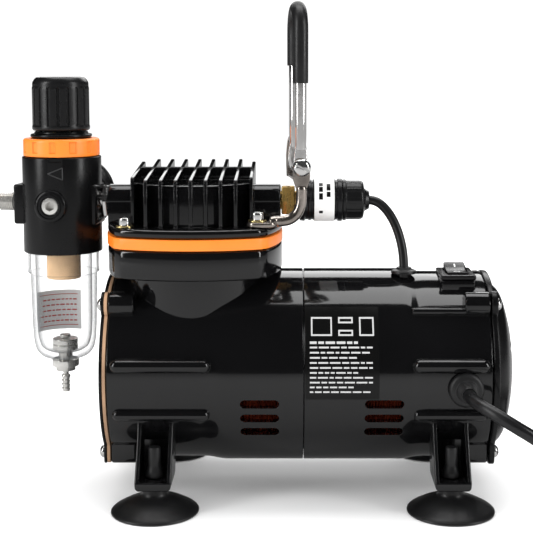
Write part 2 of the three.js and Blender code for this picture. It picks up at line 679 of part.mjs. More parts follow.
function pivotScrew() {
  const shank = drum('y', [0, 0, 0], 2.1, [-6, FAR_EAR_Y[1] + 2.6], SMALL);
  const head = turned('y', [0, 0, 0], [
    [0, -6.3], [1.3, -6.3], [1.6, -7.4], [2.8, -7.2], [3.9, -6], [4.1, TONGUE_Y[0] - GAP], [0, TONGUE_Y[0] - GAP],
  ], 18);
  const nut = prism('y', hexagon(0, 0, 7), [FAR_EAR_Y[1] + GAP, FAR_EAR_Y[1] + 2.7]);
  return join(shank, head, nut);
}

add('handle_bracket', handleBracket(), CHROME, pivotFrame);
add('handle_wire', handleWire(), CHROME, pivotFrame);
add('handle_sleeve', handleSleeve(), RUBBER, pivotFrame);
add('handle_pivot_screw', pivotScrew(), CHROME, pivotFrame);

const SCREW_NAMES = ['front_left', 'front_right', 'back_left', 'back_right'];
HEAD_SCREWS.forEach((at, i) => {
  const seat = COVER_Z[1] + GAP + (SCREW_NAMES[i] === 'front_right' ? 2.4 + GAP : 0);
  add(`head_screw_${SCREW_NAMES[i]}`, headScrew(at, seat), CHROME);
});

// ---------------------------------------------------------------- filter-regulator
// In its own frame: Z on its axis, Y towards the gauge at its back, turned a little about Z.
const regulator = new THREE.Group();
regulator.position.set(REG_X, 0, 0);
regulator.rotation.z = REG_YAW;
compressor.add(regulator);

const REG_PORT_Z = 143.5;
const BLOCK_X = [-22.9, 19.8];         // outer faces of the two side ports
const STUB_R = 4.7;
const LEFT_END = -129.3;               // the outlet stub's end, the leftmost point of all

const onReg = (profile, sides = ROUND) => turned('z', [0, 0, 0], profile, sides);

function regulatorBody() {
  const [low, high] = REG_Z;
  const outer = onReg([
    [0, low], [REG_R, low], [REG_R, high], [13.9, high], [13.9, 176.5], [14.3, 176.7], [14.3, 178.2],
    [13.1, 178.4], [13.1, 179.4], [0, 179.4],
  ], 24);
  const blocks = block(BLOCK_X, [-8.5, 8.5], [133, 153]);
  const frontBoss = drum('y', [0, 0, REG_PORT_Z], 8, [-21.4, -14], 20);
  const lowerRoom = onReg([[3.6, low - 1], [15.8, low - 1], [15.8, 131], [3.6, 131]]);
  const springRoom = onReg([[0, 156], [11.4, 156], [11.4, 172], [0, 172]], SMALL);
  const spindleHole = onReg([[0, 170], [5.3, 170], [5.3, 182], [0, 182]], SMALL);
  const outlet = drum('x', [0, 0, REG_PORT_Z], 3.9, [-30, -9], SMALL);
  const inlet = drum('x', [0, 0, PORT_Z], 4.9, [9, 30], SMALL).rotate([0, 0, -REG_YAW_DEG]);
  const frontPort = drum('y', [0, 0, REG_PORT_Z], 4.6, [-30, -5], SMALL);
  const gaugePort = drum('y', [0, 0, REG_PORT_Z], 4.8, [5, 30], SMALL).rotate([0, 0, -REG_YAW_DEG]);
  const ports = [outlet, inlet, frontPort, gaugePort];
  return cut(join(outer, blocks, frontBoss), lowerRoom, springRoom, spindleHole, ...ports);
}

function orangeRing() {
  return onReg([
    [14.9, REG_Z[1] + GAP], [18.9, REG_Z[1] + GAP], [18.9, 174.8], [18, 176], [14.9, 176],
  ], 24);
}

function knob() {
  return onReg([
    [5.3, 179.8], [13.6, 179.8], [13.9, 180.4], [13.9, 200.8], [13.4, 204.6], [11.8, 206.5],
    [0, 206.5], [0, 195.6], [5.3, 195.6],
  ], 28);
}

function bowl() {
  return onReg([
    [15.3, 130.6], [15.3, REG_Z[0] - GAP], [17.9, REG_Z[0] - GAP], [17.9, 108.3], [16.7, 107.9], [15.8, 73],
    [11.8, 65.4], [3.6, 63.4], [3.6, 67], [11, 68.6], [13.4, 74], [14.2, 130.6],
  ], 24);
}

const filterElement = () => onReg([[4, 105], [8.5, 105], [8.5, 117.6], [4, 117.6]], 18);

// The drain: a nut under the bowl, and a ring nut inside it on the same hollow stem.
function drainNut() {
  return onReg([
    [1.8, 57.2], [4.9, 57.2], [4.9, 59.6], [6.8, 59.6], [6.8, 63.1], [3.2, 63.1], [3.2, 68],
    [6.3, 68], [6.3, 73.8], [1.8, 73.8],
  ], 12);
}

function drainValve() {
  return onReg([[0, 46], [2.3, 46], [2.3, 54.8], [1.4, 55], [1.4, 74.2], [2.7, 74.2], [2.7, 75.8], [0, 75.8]], SMALL);
}

// The pipe stub that the hose screws on to, and the socket plug in the front port.
function outletStub() {
  const end = (LEFT_END - REG_X + STUB_R * Math.sin(-REG_YAW)) / Math.cos(REG_YAW);
  return turned('x', [0, 0, REG_PORT_Z], [
    [2.4, end], [STUB_R - 0.5, end], [STUB_R, end + 0.6], [STUB_R, -24.2], [3.5, -23.6], [3.5, -13], [2.4, -13],
  ], 16);
}

function frontPlug() {
  const plug = drum('y', [0, 0, REG_PORT_Z], 4.2, [-20.9, -15], 16);
  return cut(plug, prism('y', hexagon(REG_PORT_Z, 0, 4), [-22, -17.6]));
}

function gaugeCase() {
  return turned('y', [0, 0, REG_PORT_Z], [
    [0, 13], [4.2, 13], [4.2, 23.4], [18.6, 23.6], [20, 25.4], [20, 47.2], [18.2, 47.2], [18.2, 44], [0, 44],
  ], 20);
}

function gaugeNeedle() {
  const needle = prism('y', polygon([[-4.5, -1], [0, -1.5], [13.4, -0.35], [13.4, 0.35], [0, 1.5], [-4.5, 1]]), [44.5, 45.1]);
  const cap = drum('y', [0, 0, 0], 2, [44.4, 45.5], 16);
  return join(needle, cap).rotate([0, GAUGE_START, 0]).translate([0, 0, REG_PORT_Z]);
}

const gaugeLens = () => drum('y', [0, 0, REG_PORT_Z], 17.7, [45.8, 46.8], 20);

add('regulator_body', regulatorBody(), CAST_BLACK, regulator);
add('regulator_ring', orangeRing(), ORANGE, regulator);
add('regulator_knob', knob(), PLASTIC_BLACK, regulator);
add('regulator_spindle', onReg([[0, 160], [9.6, 160], [9.6, 162.4], [4.9, 162.8], [4.9, 194], [0, 194]], SMALL), BRASS, regulator);
add('filter_bowl', bowl(), CLEAR, regulator);
add('filter_element', filterElement(), SINTER, regulator);
add('drain_nut', drainNut(), STEEL, regulator);
add('drain_valve', drainValve(), STEEL, regulator);
add('outlet_stub', outletStub(), STEEL, regulator);
add('front_port_plug', frontPlug(), STEEL, regulator);

// The gauge faces straight back, so it has a frame of its own on the regulator's axis.
const gauge = new THREE.Group();
gauge.position.set(REG_X, 0, 0);
compressor.add(gauge);
add('gauge_case', gaugeCase(), CAST_BLACK, gauge);
add('gauge_needle', gaugeNeedle(), RED, gauge);
add('gauge_lens', gaugeLens(), CLEAR, gauge);

// The nipple between the regulator and the head, with a hexagon for a spanner.
const NIPPLE_FLATS = 15.2;
const NIPPLE_HEX_X = [-75.8, -73.3];

function nipple() {
  const hex = prism('x', hexagon(0, PORT_Z, NIPPLE_FLATS), NIPPLE_HEX_X);
  const thread = drum('x', SWITCH, 4.4, [-82, -66], SMALL);
  return cut(join(hex, thread), drum('x', SWITCH, 2.6, [-90, -60], 16));
}

add('inlet_nipple', nipple(), STEEL);

// ---------------------------------------------------------------- rocker switch
const [ROCKER_X, ROCKER_Y, ROCKER_Z] = ROCKER_AT;
const ROCKER_TILT = 8;                 // each way from level

function rockerFrame() {
  const rim = block(around(8.6, ROCKER_X), around(13, ROCKER_Y), [ROCKER_Z, ROCKER_Z + 2.4]);
  const box = block(around(6.7, ROCKER_X), around(10.7, ROCKER_Y), [96, ROCKER_Z + 1]);
  const opening = block(around(5.6, ROCKER_X), around(9.8, ROCKER_Y), [98, ROCKER_Z + 5]);
  return cut(join(rim, box), opening);
}

// A shallow V on top, so that one half is level with the rim while the other stands up.
function rocker() {
  const outline = polygon([[-9.1, 3.4], [0, 1.5], [9.1, 3.4], [9.2, -1.4], [4, -5.5], [-4, -5.5], [-9.2, -1.4]]);
  return prism('x', outline, [-5.2, 5.2])
    .rotate([ROCKER_TILT, 0, 0]).translate([ROCKER_X, ROCKER_Y, ROCKER_Z + 1.4]);
}

add('rocker_frame', rockerFrame(), PLASTIC_BLACK);
add('rocker_button', rocker(), PLASTIC_BLACK);

// ---------------------------------------------------------------- mains lead
const [EXIT_X, EXIT_Y, EXIT_Z] = LEAD_EXIT;

// From the strain relief towards the front, round to the right, and down to the floor.
const LEAD_ROUTE = [
  [EXIT_X, EXIT_Y - GAP, EXIT_Z], [102.6, -66, 59], [105.1, -71.9, 58.2], [109, -77, 56.6], [114.1, -80.9, 54.2],
  [120, -83.4, 51], [126.4, -84.2, 47.2], [134.5, -84.1, 41.6], [143.5, -82.8, 34.8], [152, -80.4, 28],
  [160, -77.4, 21.2], [168, -74, 15], [175, -71, 9.8], [180.6, -68.6, 6.4], [186, -66.4, 4.4],
];

function leadGrommet() {
  return turned('y', [EXIT_X, 0, EXIT_Z], [
    [3.2, -38.6], [6, -38.6], [6, -47.1], [8.4, -47.1], [8.4, -49.4], [7.2, -50.6], [5.2, -50.8],
    [4, EXIT_Y], [3.2, EXIT_Y],
  ], 16);
}

function coil() {
  const [x, y] = COIL_CENTRE;
  const [inner, outer] = [COIL_MEAN_R - COIL_HALF, COIL_MEAN_R + COIL_HALF];
  return turned('z', [x, y, 0], [
    [inner, 0.05], [outer, 0.05], [outer, COIL_HEIGHT - 1], [outer - 1, COIL_HEIGHT],
    [inner + 1, COIL_HEIGHT], [inner, COIL_HEIGHT - 1],
  ], 24);
}

// A flat two-pin plug lying behind the coil, its pins pointing away.
function plug() {
  const [x, y] = [COIL_CENTRE[0] + 45.5, COIL_CENTRE[1] + 40];
  const outline = polygon([
    [x - 6, y], [x + 6, y], [x + 9.5, y + 8], [x + 13, y + 15], [x + 16.5, y + 35.5],
    [x - 16.5, y + 35.5], [x - 13, y + 15], [x - 9.5, y + 8],
  ]);
  const body = prism('z', outline, [0.1, 13.9]);
  const pins = [-9.4, 9.4].map((dx) => drum('y', [x + dx, 0, 7], 2, [y + 35, y + 54], 16));
  return join(body, ...pins);
}

add('lead_grommet', leadGrommet(), RUBBER);
add('mains_lead', swept(LEAD_ROUTE, LEAD_R, 20, 8), RUBBER);
add('lead_coil', coil(), RUBBER);
add('mains_plug', plug(), RUBBER);

export default compressor;
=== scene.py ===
"""The looks of a small airbrush compressor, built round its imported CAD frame.

Shapes are made in millimetres, in the frame's own axes, and scaled to metres when they become pieces.
"""

import json
from math import asin, atan2, cos, degrees, pi, radians, sin, sqrt
import random

import bmesh
import bpy
from mathutils import Matrix, Vector

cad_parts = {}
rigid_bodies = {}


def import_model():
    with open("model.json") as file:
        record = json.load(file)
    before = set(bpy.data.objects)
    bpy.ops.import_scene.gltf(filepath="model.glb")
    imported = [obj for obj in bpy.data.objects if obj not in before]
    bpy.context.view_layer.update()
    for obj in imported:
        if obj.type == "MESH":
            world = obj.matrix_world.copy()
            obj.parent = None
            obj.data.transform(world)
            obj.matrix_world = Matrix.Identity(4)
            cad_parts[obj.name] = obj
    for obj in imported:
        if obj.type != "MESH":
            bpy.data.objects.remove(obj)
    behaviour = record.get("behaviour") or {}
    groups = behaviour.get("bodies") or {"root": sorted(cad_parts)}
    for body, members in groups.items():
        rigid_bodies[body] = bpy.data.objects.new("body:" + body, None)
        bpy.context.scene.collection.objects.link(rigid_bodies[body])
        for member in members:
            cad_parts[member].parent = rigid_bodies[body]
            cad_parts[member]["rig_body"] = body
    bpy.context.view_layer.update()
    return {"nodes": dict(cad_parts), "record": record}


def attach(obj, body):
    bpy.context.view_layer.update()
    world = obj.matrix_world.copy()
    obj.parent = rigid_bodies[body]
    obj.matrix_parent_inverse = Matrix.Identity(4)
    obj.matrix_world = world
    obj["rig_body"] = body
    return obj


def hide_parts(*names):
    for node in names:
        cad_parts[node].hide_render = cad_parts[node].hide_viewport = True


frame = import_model()
MM = 0.001
random.seed(7)

scene = bpy.context.scene


def add_object(name, data):
    made = bpy.data.objects.new(name, data)
    scene.collection.objects.link(made)
    return made


# -------- camera
camera = add_object("camera", bpy.data.cameras.new("camera"))
camera.data.lens = 83
camera.data.sensor_width = 36
camera.data.clip_end = 50
PITCH = radians(6)
camera.location = (0.0191, -0.6172, 0.2103)
camera.rotation_euler = (pi / 2 - PITCH, 0, 0)
camera.data.shift_x = -0.0477
camera.data.shift_y = -0.128
scene.camera = camera
scene.view_settings.view_transform = "Standard"
scene.view_settings.look = "None"

# -------- where things are, as in the CAD
SHAFT = (0, 0, 61)
END_R, MID_R, BORE_R = 46.8, 48.25, 43.6
ORIGIN = (0, 0, 0)
HEAD_X = -29.5
HEAD_SCREW = (32, 30)
HEAD_PORT = (0, 0, 144.6)
REG_PORT_Z = 143.5
REG_PORT = (0, 0, REG_PORT_Z)
GAUGE = Matrix.Translation((-96.7, 0, 0))
REGULATOR = GAUGE @ Matrix.Rotation(radians(-7), 4, "Z")
PIVOT_Z = 163.2
PIVOT = Matrix.Translation((23.2, -25, PIVOT_Z)) @ Matrix.Rotation(radians(7), 4, "Z")
FOOT_X, FOOT_Y = (-46.4, 95.1), 47.4
SOLE_Z = (12.6, 16.8)
CABLE_HOLE = (75, -10)
ROCKER = (101, -9.5, 107.3)
UPPER_BOSSES = ((-31, 97), (31, 97))
COVER_SCREWS = ((-31, 97), (31, 97), (-29.3, 23.6), (29.3, 23.6))

# -------- mains lead
LEAD_R = 3.0
LEAD_EXIT = (101.8, -58.5, 59.2)
LEAD_START = (101.8, -50, 59.2)
LEAD_ROUTE = [
    (101.8, -58.8, 59.2), (102.6, -66, 59), (105.1, -71.9, 58.2), (109, -77, 56.6), (114.1, -80.9, 54.2),
    (120, -83.4, 51), (126.4, -84.2, 47.2), (134.5, -84.1, 41.6), (143.5, -82.8, 34.8), (152, -80.4, 28),
    (160, -77.4, 21.2), (168, -74, 15), (175, -71, 9.8), (180.6, -68.6, 6.4), (186, -66.4, 4.4),
    (192, -64, 3.4), (202, -61.6, 3.1),
]
PLUG_X, PLUG_Y, PLUG_Z = 245.5, 24, 7
LEAD_TAIL = [
    (245, -10, 9.2), (245.3, -4, 8.8), (PLUG_X, 2, 7.8), (PLUG_X, 9, 6.6), (PLUG_X, 16, 6.4),
    (PLUG_X, PLUG_Y, PLUG_Z),
]
COIL_AT = (200, -16)
COIL_OUTER, COIL_INNER = 44.8, 26.2
LAYER_Z = (3.1, 9.2)
POINTS_A_TURN = 18


def coil_points():
    """Three turns inwards on the floor, half a turn up, then outwards on top to angle 0."""
    low, high = LAYER_Z
    start, turns_in, climb, turns_out = -75.0, 3.0, 0.5, 3 - 105 / 360
    total = turns_in + climb + turns_out
    count = round(total * POINTS_A_TURN)
    points = []
    for i in range(count + 1):
        turn = total * i / count
        angle = radians(start + 360 * turn)
        if turn < turns_in:
            radius = COIL_OUTER + (COIL_INNER - COIL_OUTER) * turn / turns_in
            z = low
        elif turn < turns_in + climb:
            share = (turn - turns_in) / climb
            radius = COIL_INNER - 0.4 * sin(pi * share)
            z = low + (high - low) * share * share * (3 - 2 * share)
        else:
            radius = COIL_INNER + (COIL_OUTER - COIL_INNER) * (turn - turns_in - climb) / turns_out
            z = high
        points.append((COIL_AT[0] + radius * cos(angle), COIL_AT[1] + radius * sin(angle), z))
    return points


def make_lead():
    points = [LEAD_START, *LEAD_ROUTE, *coil_points(), *LEAD_TAIL]
    curve = bpy.data.curves.new("mains_lead_flex", "CURVE")
    curve.dimensions = "3D"
    curve.resolution_u = 5
    curve.bevel_depth = LEAD_R * MM
    curve.bevel_resolution = 5
    curve.use_fill_caps = True
    spline = curve.splines.new("BEZIER")
    spline.bezier_points.add(len(points) - 1)
    for knot, point in zip(spline.bezier_points, points):
        knot.co = Vector(point) * MM
        knot.handle_left_type = knot.handle_right_type = "AUTO"
    lead = add_object("mains_lead_flex", curve)
    return lead, sum((Vector(b) - Vector(a)).length for a, b in zip(points, points[1:]))


# -------- materials
NOISE_SPAN = (0.3, 0.7)  # where most of a noise's values lie


def set_inputs(node, values):
    for name, value in values.items():
        node.inputs[name].default_value = value


def add_node(tree, kind, values=None):
    made = tree.nodes.new("ShaderNode" + kind)
    set_inputs(made, values or {})
    return made


def principled(name, values):
    made = bpy.data.materials.new(name)
    made.use_nodes = True
    set_inputs(made.node_tree.nodes["Principled BSDF"], values)
    return made


def shader(name, color, roughness, metallic=0.0, rough_span=0.05, rough_scale=60, grain=0.0, grain_scale=900,
           stretch=(1, 1, 1), mottle=0.15, edge=0.35, coat=0.0, specular=0.5):
    """A procedural finish: mottled colour, uneven gloss, a fine surface grain and softly rounded edges."""
    made = principled(name, {
        "Metallic": metallic, "Coat Weight": coat, "Coat Roughness": 0.05, "Specular IOR Level": specular,
    })
    tree = made.node_tree
    link = tree.links.new
    main = tree.nodes["Principled BSDF"]
    place = add_node(tree, "TexCoord")
    spread = add_node(tree, "Mapping", {"Scale": stretch})
    link(place.outputs["Object"], spread.inputs["Vector"])

    def noise(scale, detail):
        pattern = add_node(tree, "TexNoise", {"Scale": scale, "Detail": detail})
        link(spread.outputs["Vector"], pattern.inputs["Vector"])
        return pattern.outputs["Fac"]

    tone = add_node(tree, "ValToRGB")
    for stop, position, change in zip(tone.color_ramp.elements, NOISE_SPAN, (1 - mottle, 1 + mottle)):
        stop.position = position
        stop.color = (*[min(1, c * change) for c in color], 1)
    link(noise(rough_scale * 0.7, 4), tone.inputs["Fac"])
    link(tone.outputs["Color"], main.inputs["Base Color"])
    gloss = add_node(tree, "MapRange", {
        "From Min": NOISE_SPAN[0], "From Max": NOISE_SPAN[1],
        "To Min": max(0.02, roughness - rough_span), "To Max": roughness + rough_span,
    })
    link(noise(rough_scale, 5), gloss.inputs["Value"])
    link(gloss.outputs["Result"], main.inputs["Roughness"])
    surface = add_node(tree, "Bevel", {"Radius": edge * MM})
    surface.samples = 4
    if grain:
        bump = add_node(tree, "Bump", {"Strength": grain, "Distance": 0.0004})
        link(noise(grain_scale, 2), bump.inputs["Height"])
        link(surface.outputs["Normal"], bump.inputs["Normal"])
        surface = bump
    link(surface.outputs["Normal"], main.inputs["Normal"])
    return made


def clear_plastic(name, tint, haze):
    """Clear plastic: almost nothing face on, and grey at its edges."""
    made = shader(name, tint, 0.05, rough_span=0.03, rough_scale=40, mottle=0.02, edge=0.2)
    tree = made.node_tree
    rim = add_node(tree, "LayerWeight", {"Blend": 0.3})
    cover = add_node(tree, "MapRange", {"From Min": 0.2, "From Max": 0.72, "To Min": haze, "To Max": 0.8})
    tree.links.new(rim.outputs["Facing"], cover.inputs["Value"])
    tree.links.new(cover.outputs["Result"], tree.nodes["Principled BSDF"].inputs["Alpha"])
    return made


LOOKS = {}


def look(name, color, roughness, **finish):
    LOOKS[name] = shader(name, color, roughness, **finish)


look("gloss_black", (0.0035, 0.0035, 0.0038), 0.09, rough_span=0.03, rough_scale=30, grain=0.02,
     grain_scale=260, edge=0.5, coat=0.15)
look("cast_black", (0.0035, 0.0035, 0.0038), 0.25, rough_span=0.06, grain=0.1, grain_scale=1500, edge=0.4,
     specular=0.27)
look("black_plastic", (0.006, 0.006, 0.0064), 0.26, rough_span=0.06, grain=0.08, grain_scale=2400, edge=0.3,
     specular=0.34)
look("black_rubber", (0.007, 0.007, 0.0075), 0.4, rough_span=0.1, rough_scale=90, grain=0.1, grain_scale=1200,
     mottle=0.25, edge=0.3)
look("orange", (0.95, 0.225, 0.018), 0.36, rough_span=0.06, mottle=0.05, grain=0.05, grain_scale=1300,
     edge=0.3)
look("chrome", (0.76, 0.75, 0.74), 0.09, metallic=0.97, rough_scale=140, mottle=0.05, grain=0.03,
     grain_scale=500, edge=0.25)
look("plain_steel", (0.7, 0.69, 0.66), 0.2, metallic=0.75, rough_span=0.08, rough_scale=120, grain=0.08,
     grain_scale=700, edge=0.2, stretch=(1, 1, 4))
look("brass", (0.74, 0.48, 0.15), 0.28, metallic=0.85, rough_span=0.1, rough_scale=150, grain=0.08, edge=0.25,
     stretch=(4, 1, 1))
look("copper", (0.3, 0.05, 0.02), 0.32, metallic=0.5, rough_span=0.1, grain=0.3, grain_scale=420, mottle=0.5,
     edge=0.1)
look("cast_aluminium", (0.6, 0.61, 0.62), 0.42, metallic=1, grain=0.2)
look("lamination_steel", (0.3, 0.3, 0.31), 0.45, metallic=1, grain=0.6, grain_scale=300,
     stretch=(8, 0.3, 0.3))
look("tan_gasket", (0.36, 0.22, 0.13), 0.85, rough_span=0.08, grain=0.5, grain_scale=1800, mottle=0.3,
     edge=0.1)
look("white_plastic", (0.84, 0.84, 0.83), 0.45, mottle=0.03, grain=0.03, edge=0.1)
look("sintered_bronze", (0.72, 0.48, 0.27), 0.8, metallic=0.1, grain=0.9, grain_scale=2200, mottle=0.35)
LOOKS["clear_bowl"] = clear_plastic("clear_bowl", (0.16, 0.17, 0.175), 0.07)
look("red_enamel", (0.6, 0.03, 0.015), 0.35, mottle=0.06, edge=0.05)
DULL_NICKEL = shader("dull_nickel", (0.36, 0.32, 0.29), 0.22, metallic=0.95, rough_span=0.1, rough_scale=160,
                     grain=0.12, grain_scale=600, mottle=0.35)
PANEL_WHITE = shader("panel_white", (0.96, 0.96, 0.96), 0.5, mottle=0.01, edge=0.0)
# Painted highlight: the flow mark's lighter grey stands in for the light that its raised edges catch.
FLOW_MARK_PAINTED_HIGHLIGHT = shader("flow_mark_painted_highlight", (0.03, 0.03, 0.031), 0.3, mottle=0.05, edge=0.0)
GOLD_WASHER = shader("gold_washer", (0.75, 0.6, 0.28), 0.25, metallic=1, rough_scale=200, grain=0.05)
LABEL_GREY = shader("label_print", (0.5, 0.5, 0.5), 0.5, mottle=0.05, edge=0.0)
LABEL_GROUND = shader("label_ground", (0.004, 0.004, 0.004), 0.22, mottle=0.1, edge=0.0, specular=0.25)
WOUND_CABLE = shader("lead_sheath", (0.007, 0.007, 0.0075), 0.33, rough_span=0.08, rough_scale=70, grain=0.08,
                     grain_scale=800, mottle=0.3, edge=0.0)

# -------- shapes
TURN = {
    "x": Matrix(((0, 0, 1, 0), (1, 0, 0, 0), (0, 1, 0, 0), (0, 0, 0, 1))),
    "y": Matrix(((0, 1, 0, 0), (0, 0, 1, 0), (1, 0, 0, 0), (0, 0, 0, 1))),
    "z": Matrix(),
}


def solid(points, faces):
    mesh = bpy.data.meshes.new("solid")
    mesh.from_pydata([tuple(p) for p in points], [], [tuple(f) for f in faces])
    work = bmesh.new()
    work.from_mesh(mesh)
    bmesh.ops.remove_doubles(work, verts=work.verts, dist=1e-5)
    bmesh.ops.recalc_face_normals(work, faces=work.faces)
    if work.calc_volume(signed=True) < 0:
        bmesh.ops.reverse_faces(work, faces=work.faces)
    work.to_mesh(mesh)
    work.free()
    return add_object("solid", mesh)


def moved(made, matrix):
    made.data.transform(matrix)
    return made


def soften(points, radius, closed=True, steps=3):
    """Rounds an outline's corners. A point's third value, if it has one, is its own radius."""
    result = []
    for i, point in enumerate(points):
        here = Vector(point[:2])
        before = Vector(points[i - 1][:2]) - here
        after = Vector(points[(i + 1) % len(points)][:2]) - here
        reach = min(point[2] if len(point) > 2 else radius, 0.45 * before.length, 0.45 * after.length)
        at_end = not closed and i in (0, len(points) - 1)
        if at_end or reach < 0.02 or before.angle(-after) < 0.12:
            result.append(here)
            continue
        first = here + before.normalized() * reach
        last = here + after.normalized() * reach
        for step in range(steps + 1):
            t = step / steps
            result.append(first.lerp(here, t).lerp(here.lerp(last, t), t))
    return result


def lathe(axis, centre, profile, sides=96, soft=0.3, wave=None):
    """A [radius, height] profile turned about an axis. wave(angle, radius, height) can change the radius."""
    closed = profile[0][0] > 0
    points, rings = [], []
    for radius, height in soften(profile, soft, closed):
        if radius < 1e-6:
            rings.append([len(points)] * sides)
            points.append((0, 0, height))
            continue
        rings.append([len(points) + k for k in range(sides)])
        for k in range(sides):
            angle = 2 * pi * k / sides
            reach = wave(angle, radius, height) if wave else radius
            points.append((reach * cos(angle), reach * sin(angle), height))
    pairs = list(zip(rings, rings[1:]))
    if closed:
        pairs.append((rings[-1], rings[0]))
    faces = []
    for low, high in pairs:
        for k in range(sides):
            n = (k + 1) % sides
            corners = list(dict.fromkeys((low[k], low[n], high[n], high[k])))
            if len(corners) > 2:
                faces.append(corners)
    return moved(solid(points, faces), Matrix.Translation(centre) @ TURN[axis])


def drum(axis, centre, radius, low, high, sides=64, soft=0.3):
    return lathe(axis, centre, [(0, low), (radius, low), (radius, high), (0, high)], sides, soft)


def pipe(axis, centre, inner, outer, low, high, sides=96, soft=0.0):
    return lathe(axis, centre, [(inner, low), (outer, low), (outer, high), (inner, high)], sides, soft)


def inset(outline, distance):
    """The outline moved inwards, each corner along the mean of its two sides' normals."""
    area = sum(a.x * b.y - b.x * a.y for a, b in zip(outline, outline[1:] + outline[:1]))
    sign = 1 if area > 0 else -1
    result = []
    for i, here in enumerate(outline):
        before = (here - outline[i - 1]).normalized()
        after = (outline[(i + 1) % len(outline)] - here).normalized()
        first, second = Vector((-before.y, before.x)), Vector((-after.y, after.x))
        mean = (first + second) / max(0.4, 1 + first.dot(second))
        result.append(here + mean * distance * sign)
    return result


def prism(axis, outline, low, high, fillet=0.4, soft=0.0):
    """An outline pushed along an axis, with rounded rims. Planes: YZ for x, ZX for y, XY for z."""
    line = soften(outline, soft)
    steps = 3
    layers = []
    for step in range(steps + 1):
        angle = pi / 2 * step / steps
        layers.append((low + fillet * (1 - cos(angle)), fillet * (1 - sin(angle))))
    layers += [(low + high - z, depth) for z, depth in reversed(layers)]
    count = len(line)
    points = []
    for z, depth in layers:
        points += [(p.x, p.y, z) for p in inset(line, depth)]
    faces = [list(range(count)), [len(points) - count + k for k in range(count)]]
    for layer in range(len(layers) - 1):
        base = layer * count
        for k in range(count):
            n = (k + 1) % count
            faces.append((base + k, base + n, base + count + n, base + count + k))
    return moved(solid(points, faces), TURN[axis])


def box(x, y, z, fillet=0.0, soft=0.0):
    outline = [(x[0], y[0]), (x[1], y[0]), (x[1], y[1]), (x[0], y[1])]
    return prism("z", outline, z[0], z[1], fillet, soft)


def block(centre, half_x, half_y, low, high, fillet=0.0, soft=0.0):
    """A box round a centre, between two heights."""
    x, y = centre[:2]
    return box((x - half_x, x + half_x), (y - half_y, y + half_y), (low, high), fillet, soft)


def stadium(u, v, length, width, steps=10):
    reach, radius = (length - width) / 2, width / 2
    points = []
    for side, start in ((1, 0), (-1, pi)):
        for step in range(steps + 1):
            angle = start + pi * step / steps
            points.append((u + radius * cos(angle), v + side * reach + radius * sin(angle)))
    return points


def hexagon(u, v, across):
    reach = across / sqrt(3)
    return [(u + reach * cos(i * pi / 3), v + reach * sin(i * pi / 3)) for i in range(6)]


def smooth_line(route, each=8):
    """A centripetal Catmull-Rom line through the route's points."""
    points = [Vector(p) for p in route]
    points = [2 * points[0] - points[1], *points, 2 * points[-1] - points[-2]]
    line = []
    for a, b, c, d in zip(points, points[1:], points[2:], points[3:]):
        t1 = sqrt((b - a).length)
        t2 = t1 + sqrt((c - b).length)
        t3 = t2 + sqrt((d - c).length)
        for step in range(each):
            t = t1 + (t2 - t1) * step / each
            ab, bc, cd = a.lerp(b, t / t1), b.lerp(c, (t - t1) / (t2 - t1)), c.lerp(d, (t - t2) / (t3 - t2))
            abc, bcd = ab.lerp(bc, t / t2), bc.lerp(cd, (t - t1) / (t3 - t1))
            line.append(abc.lerp(bcd, (t - t1) / (t2 - t1)))
    line.append(points[-2])
    return line


def tube(route, radius, sides=24, each=8, inner=0.0):
    """A round bar along a route, its ends rounded off, or a sleeve if it has an inner radius."""
    line = smooth_line(route, each)
    tangents = [(b - a).normalized() for a, b in zip(line[:1] + line, line[1:] + line[-1:])]
    normal = tangents[0].orthogonal().normalized()
    soft = 0.35 * (radius - inner) if inner else 0.3 * radius
    points, rings = [], []

    def add_ring(spot, reach, along=0.0):
        here, across, up, tangent = spot
        rings.append([len(points) + k for k in range(sides)])
        for k in range(sides):
            angle = 2 * pi * k / sides
            points.append(here + tangent * along + reach * (cos(angle) * across + sin(angle) * up))

    frames = []
    for here, tangent in zip(line, tangents):
        normal = (normal - tangent * normal.dot(tangent)).normalized()
        frames.append((here, normal.copy(), tangent.cross(normal), tangent))
    hole = max(inner, 0.02)
    rounding = soft * 0.3
    for reach, along in ((hole, 0), (radius - soft, 0), (radius - rounding, rounding)):
        add_ring(frames[0], reach, along)
    for spot in frames[1:-1]:
        add_ring(spot, radius)
    for reach, along in ((radius - rounding, -rounding), (radius - soft, 0), (hole, 0)):
        add_ring(frames[-1], reach, along)
    if inner:
        for spot in reversed(frames[1:-1]):
            add_ring(spot, inner)
    pairs = list(zip(rings, rings[1:]))
    faces = [] if inner else [rings[0], rings[-1]]
    if inner:
        pairs.append((rings[-1], rings[0]))
    for low, high in pairs:
        faces += [(low[k], low[(k + 1) % sides], high[(k + 1) % sides], high[k]) for k in range(sides)]
    return solid(points, faces)


def arc_patch(axis, centre, radius, thick, angles, heights, steps=12):
    """A thin curved panel round an axis, between two angles in degrees and two heights."""
    points, faces = [], []
    for step in range(steps + 1):
        angle = radians(angles[0] + (angles[1] - angles[0]) * step / steps)
        for reach in (radius, radius + thick):
            for height in heights:
                points.append((reach * cos(angle), reach * sin(angle), height))
    for a in range(0, 4 * steps, 4):
        b = a + 4
        faces += [(a, a + 1, b + 1, b), (a + 2, b + 2, b + 3, a + 3)]
        faces += [(a, b, b + 2, a + 2), (a + 1, a + 3, b + 3, b + 1)]
    faces += [(0, 2, 3, 1), (b, b + 1, b + 3, b + 2)]
    return moved(solid(points, faces), Matrix.Translation(centre) @ TURN[axis])


def bake(made):
    graph = bpy.context.evaluated_depsgraph_get()
    mesh = bpy.data.meshes.new_from_object(made.evaluated_get(graph))
    made.modifiers.clear()
    made.data = mesh
    return made


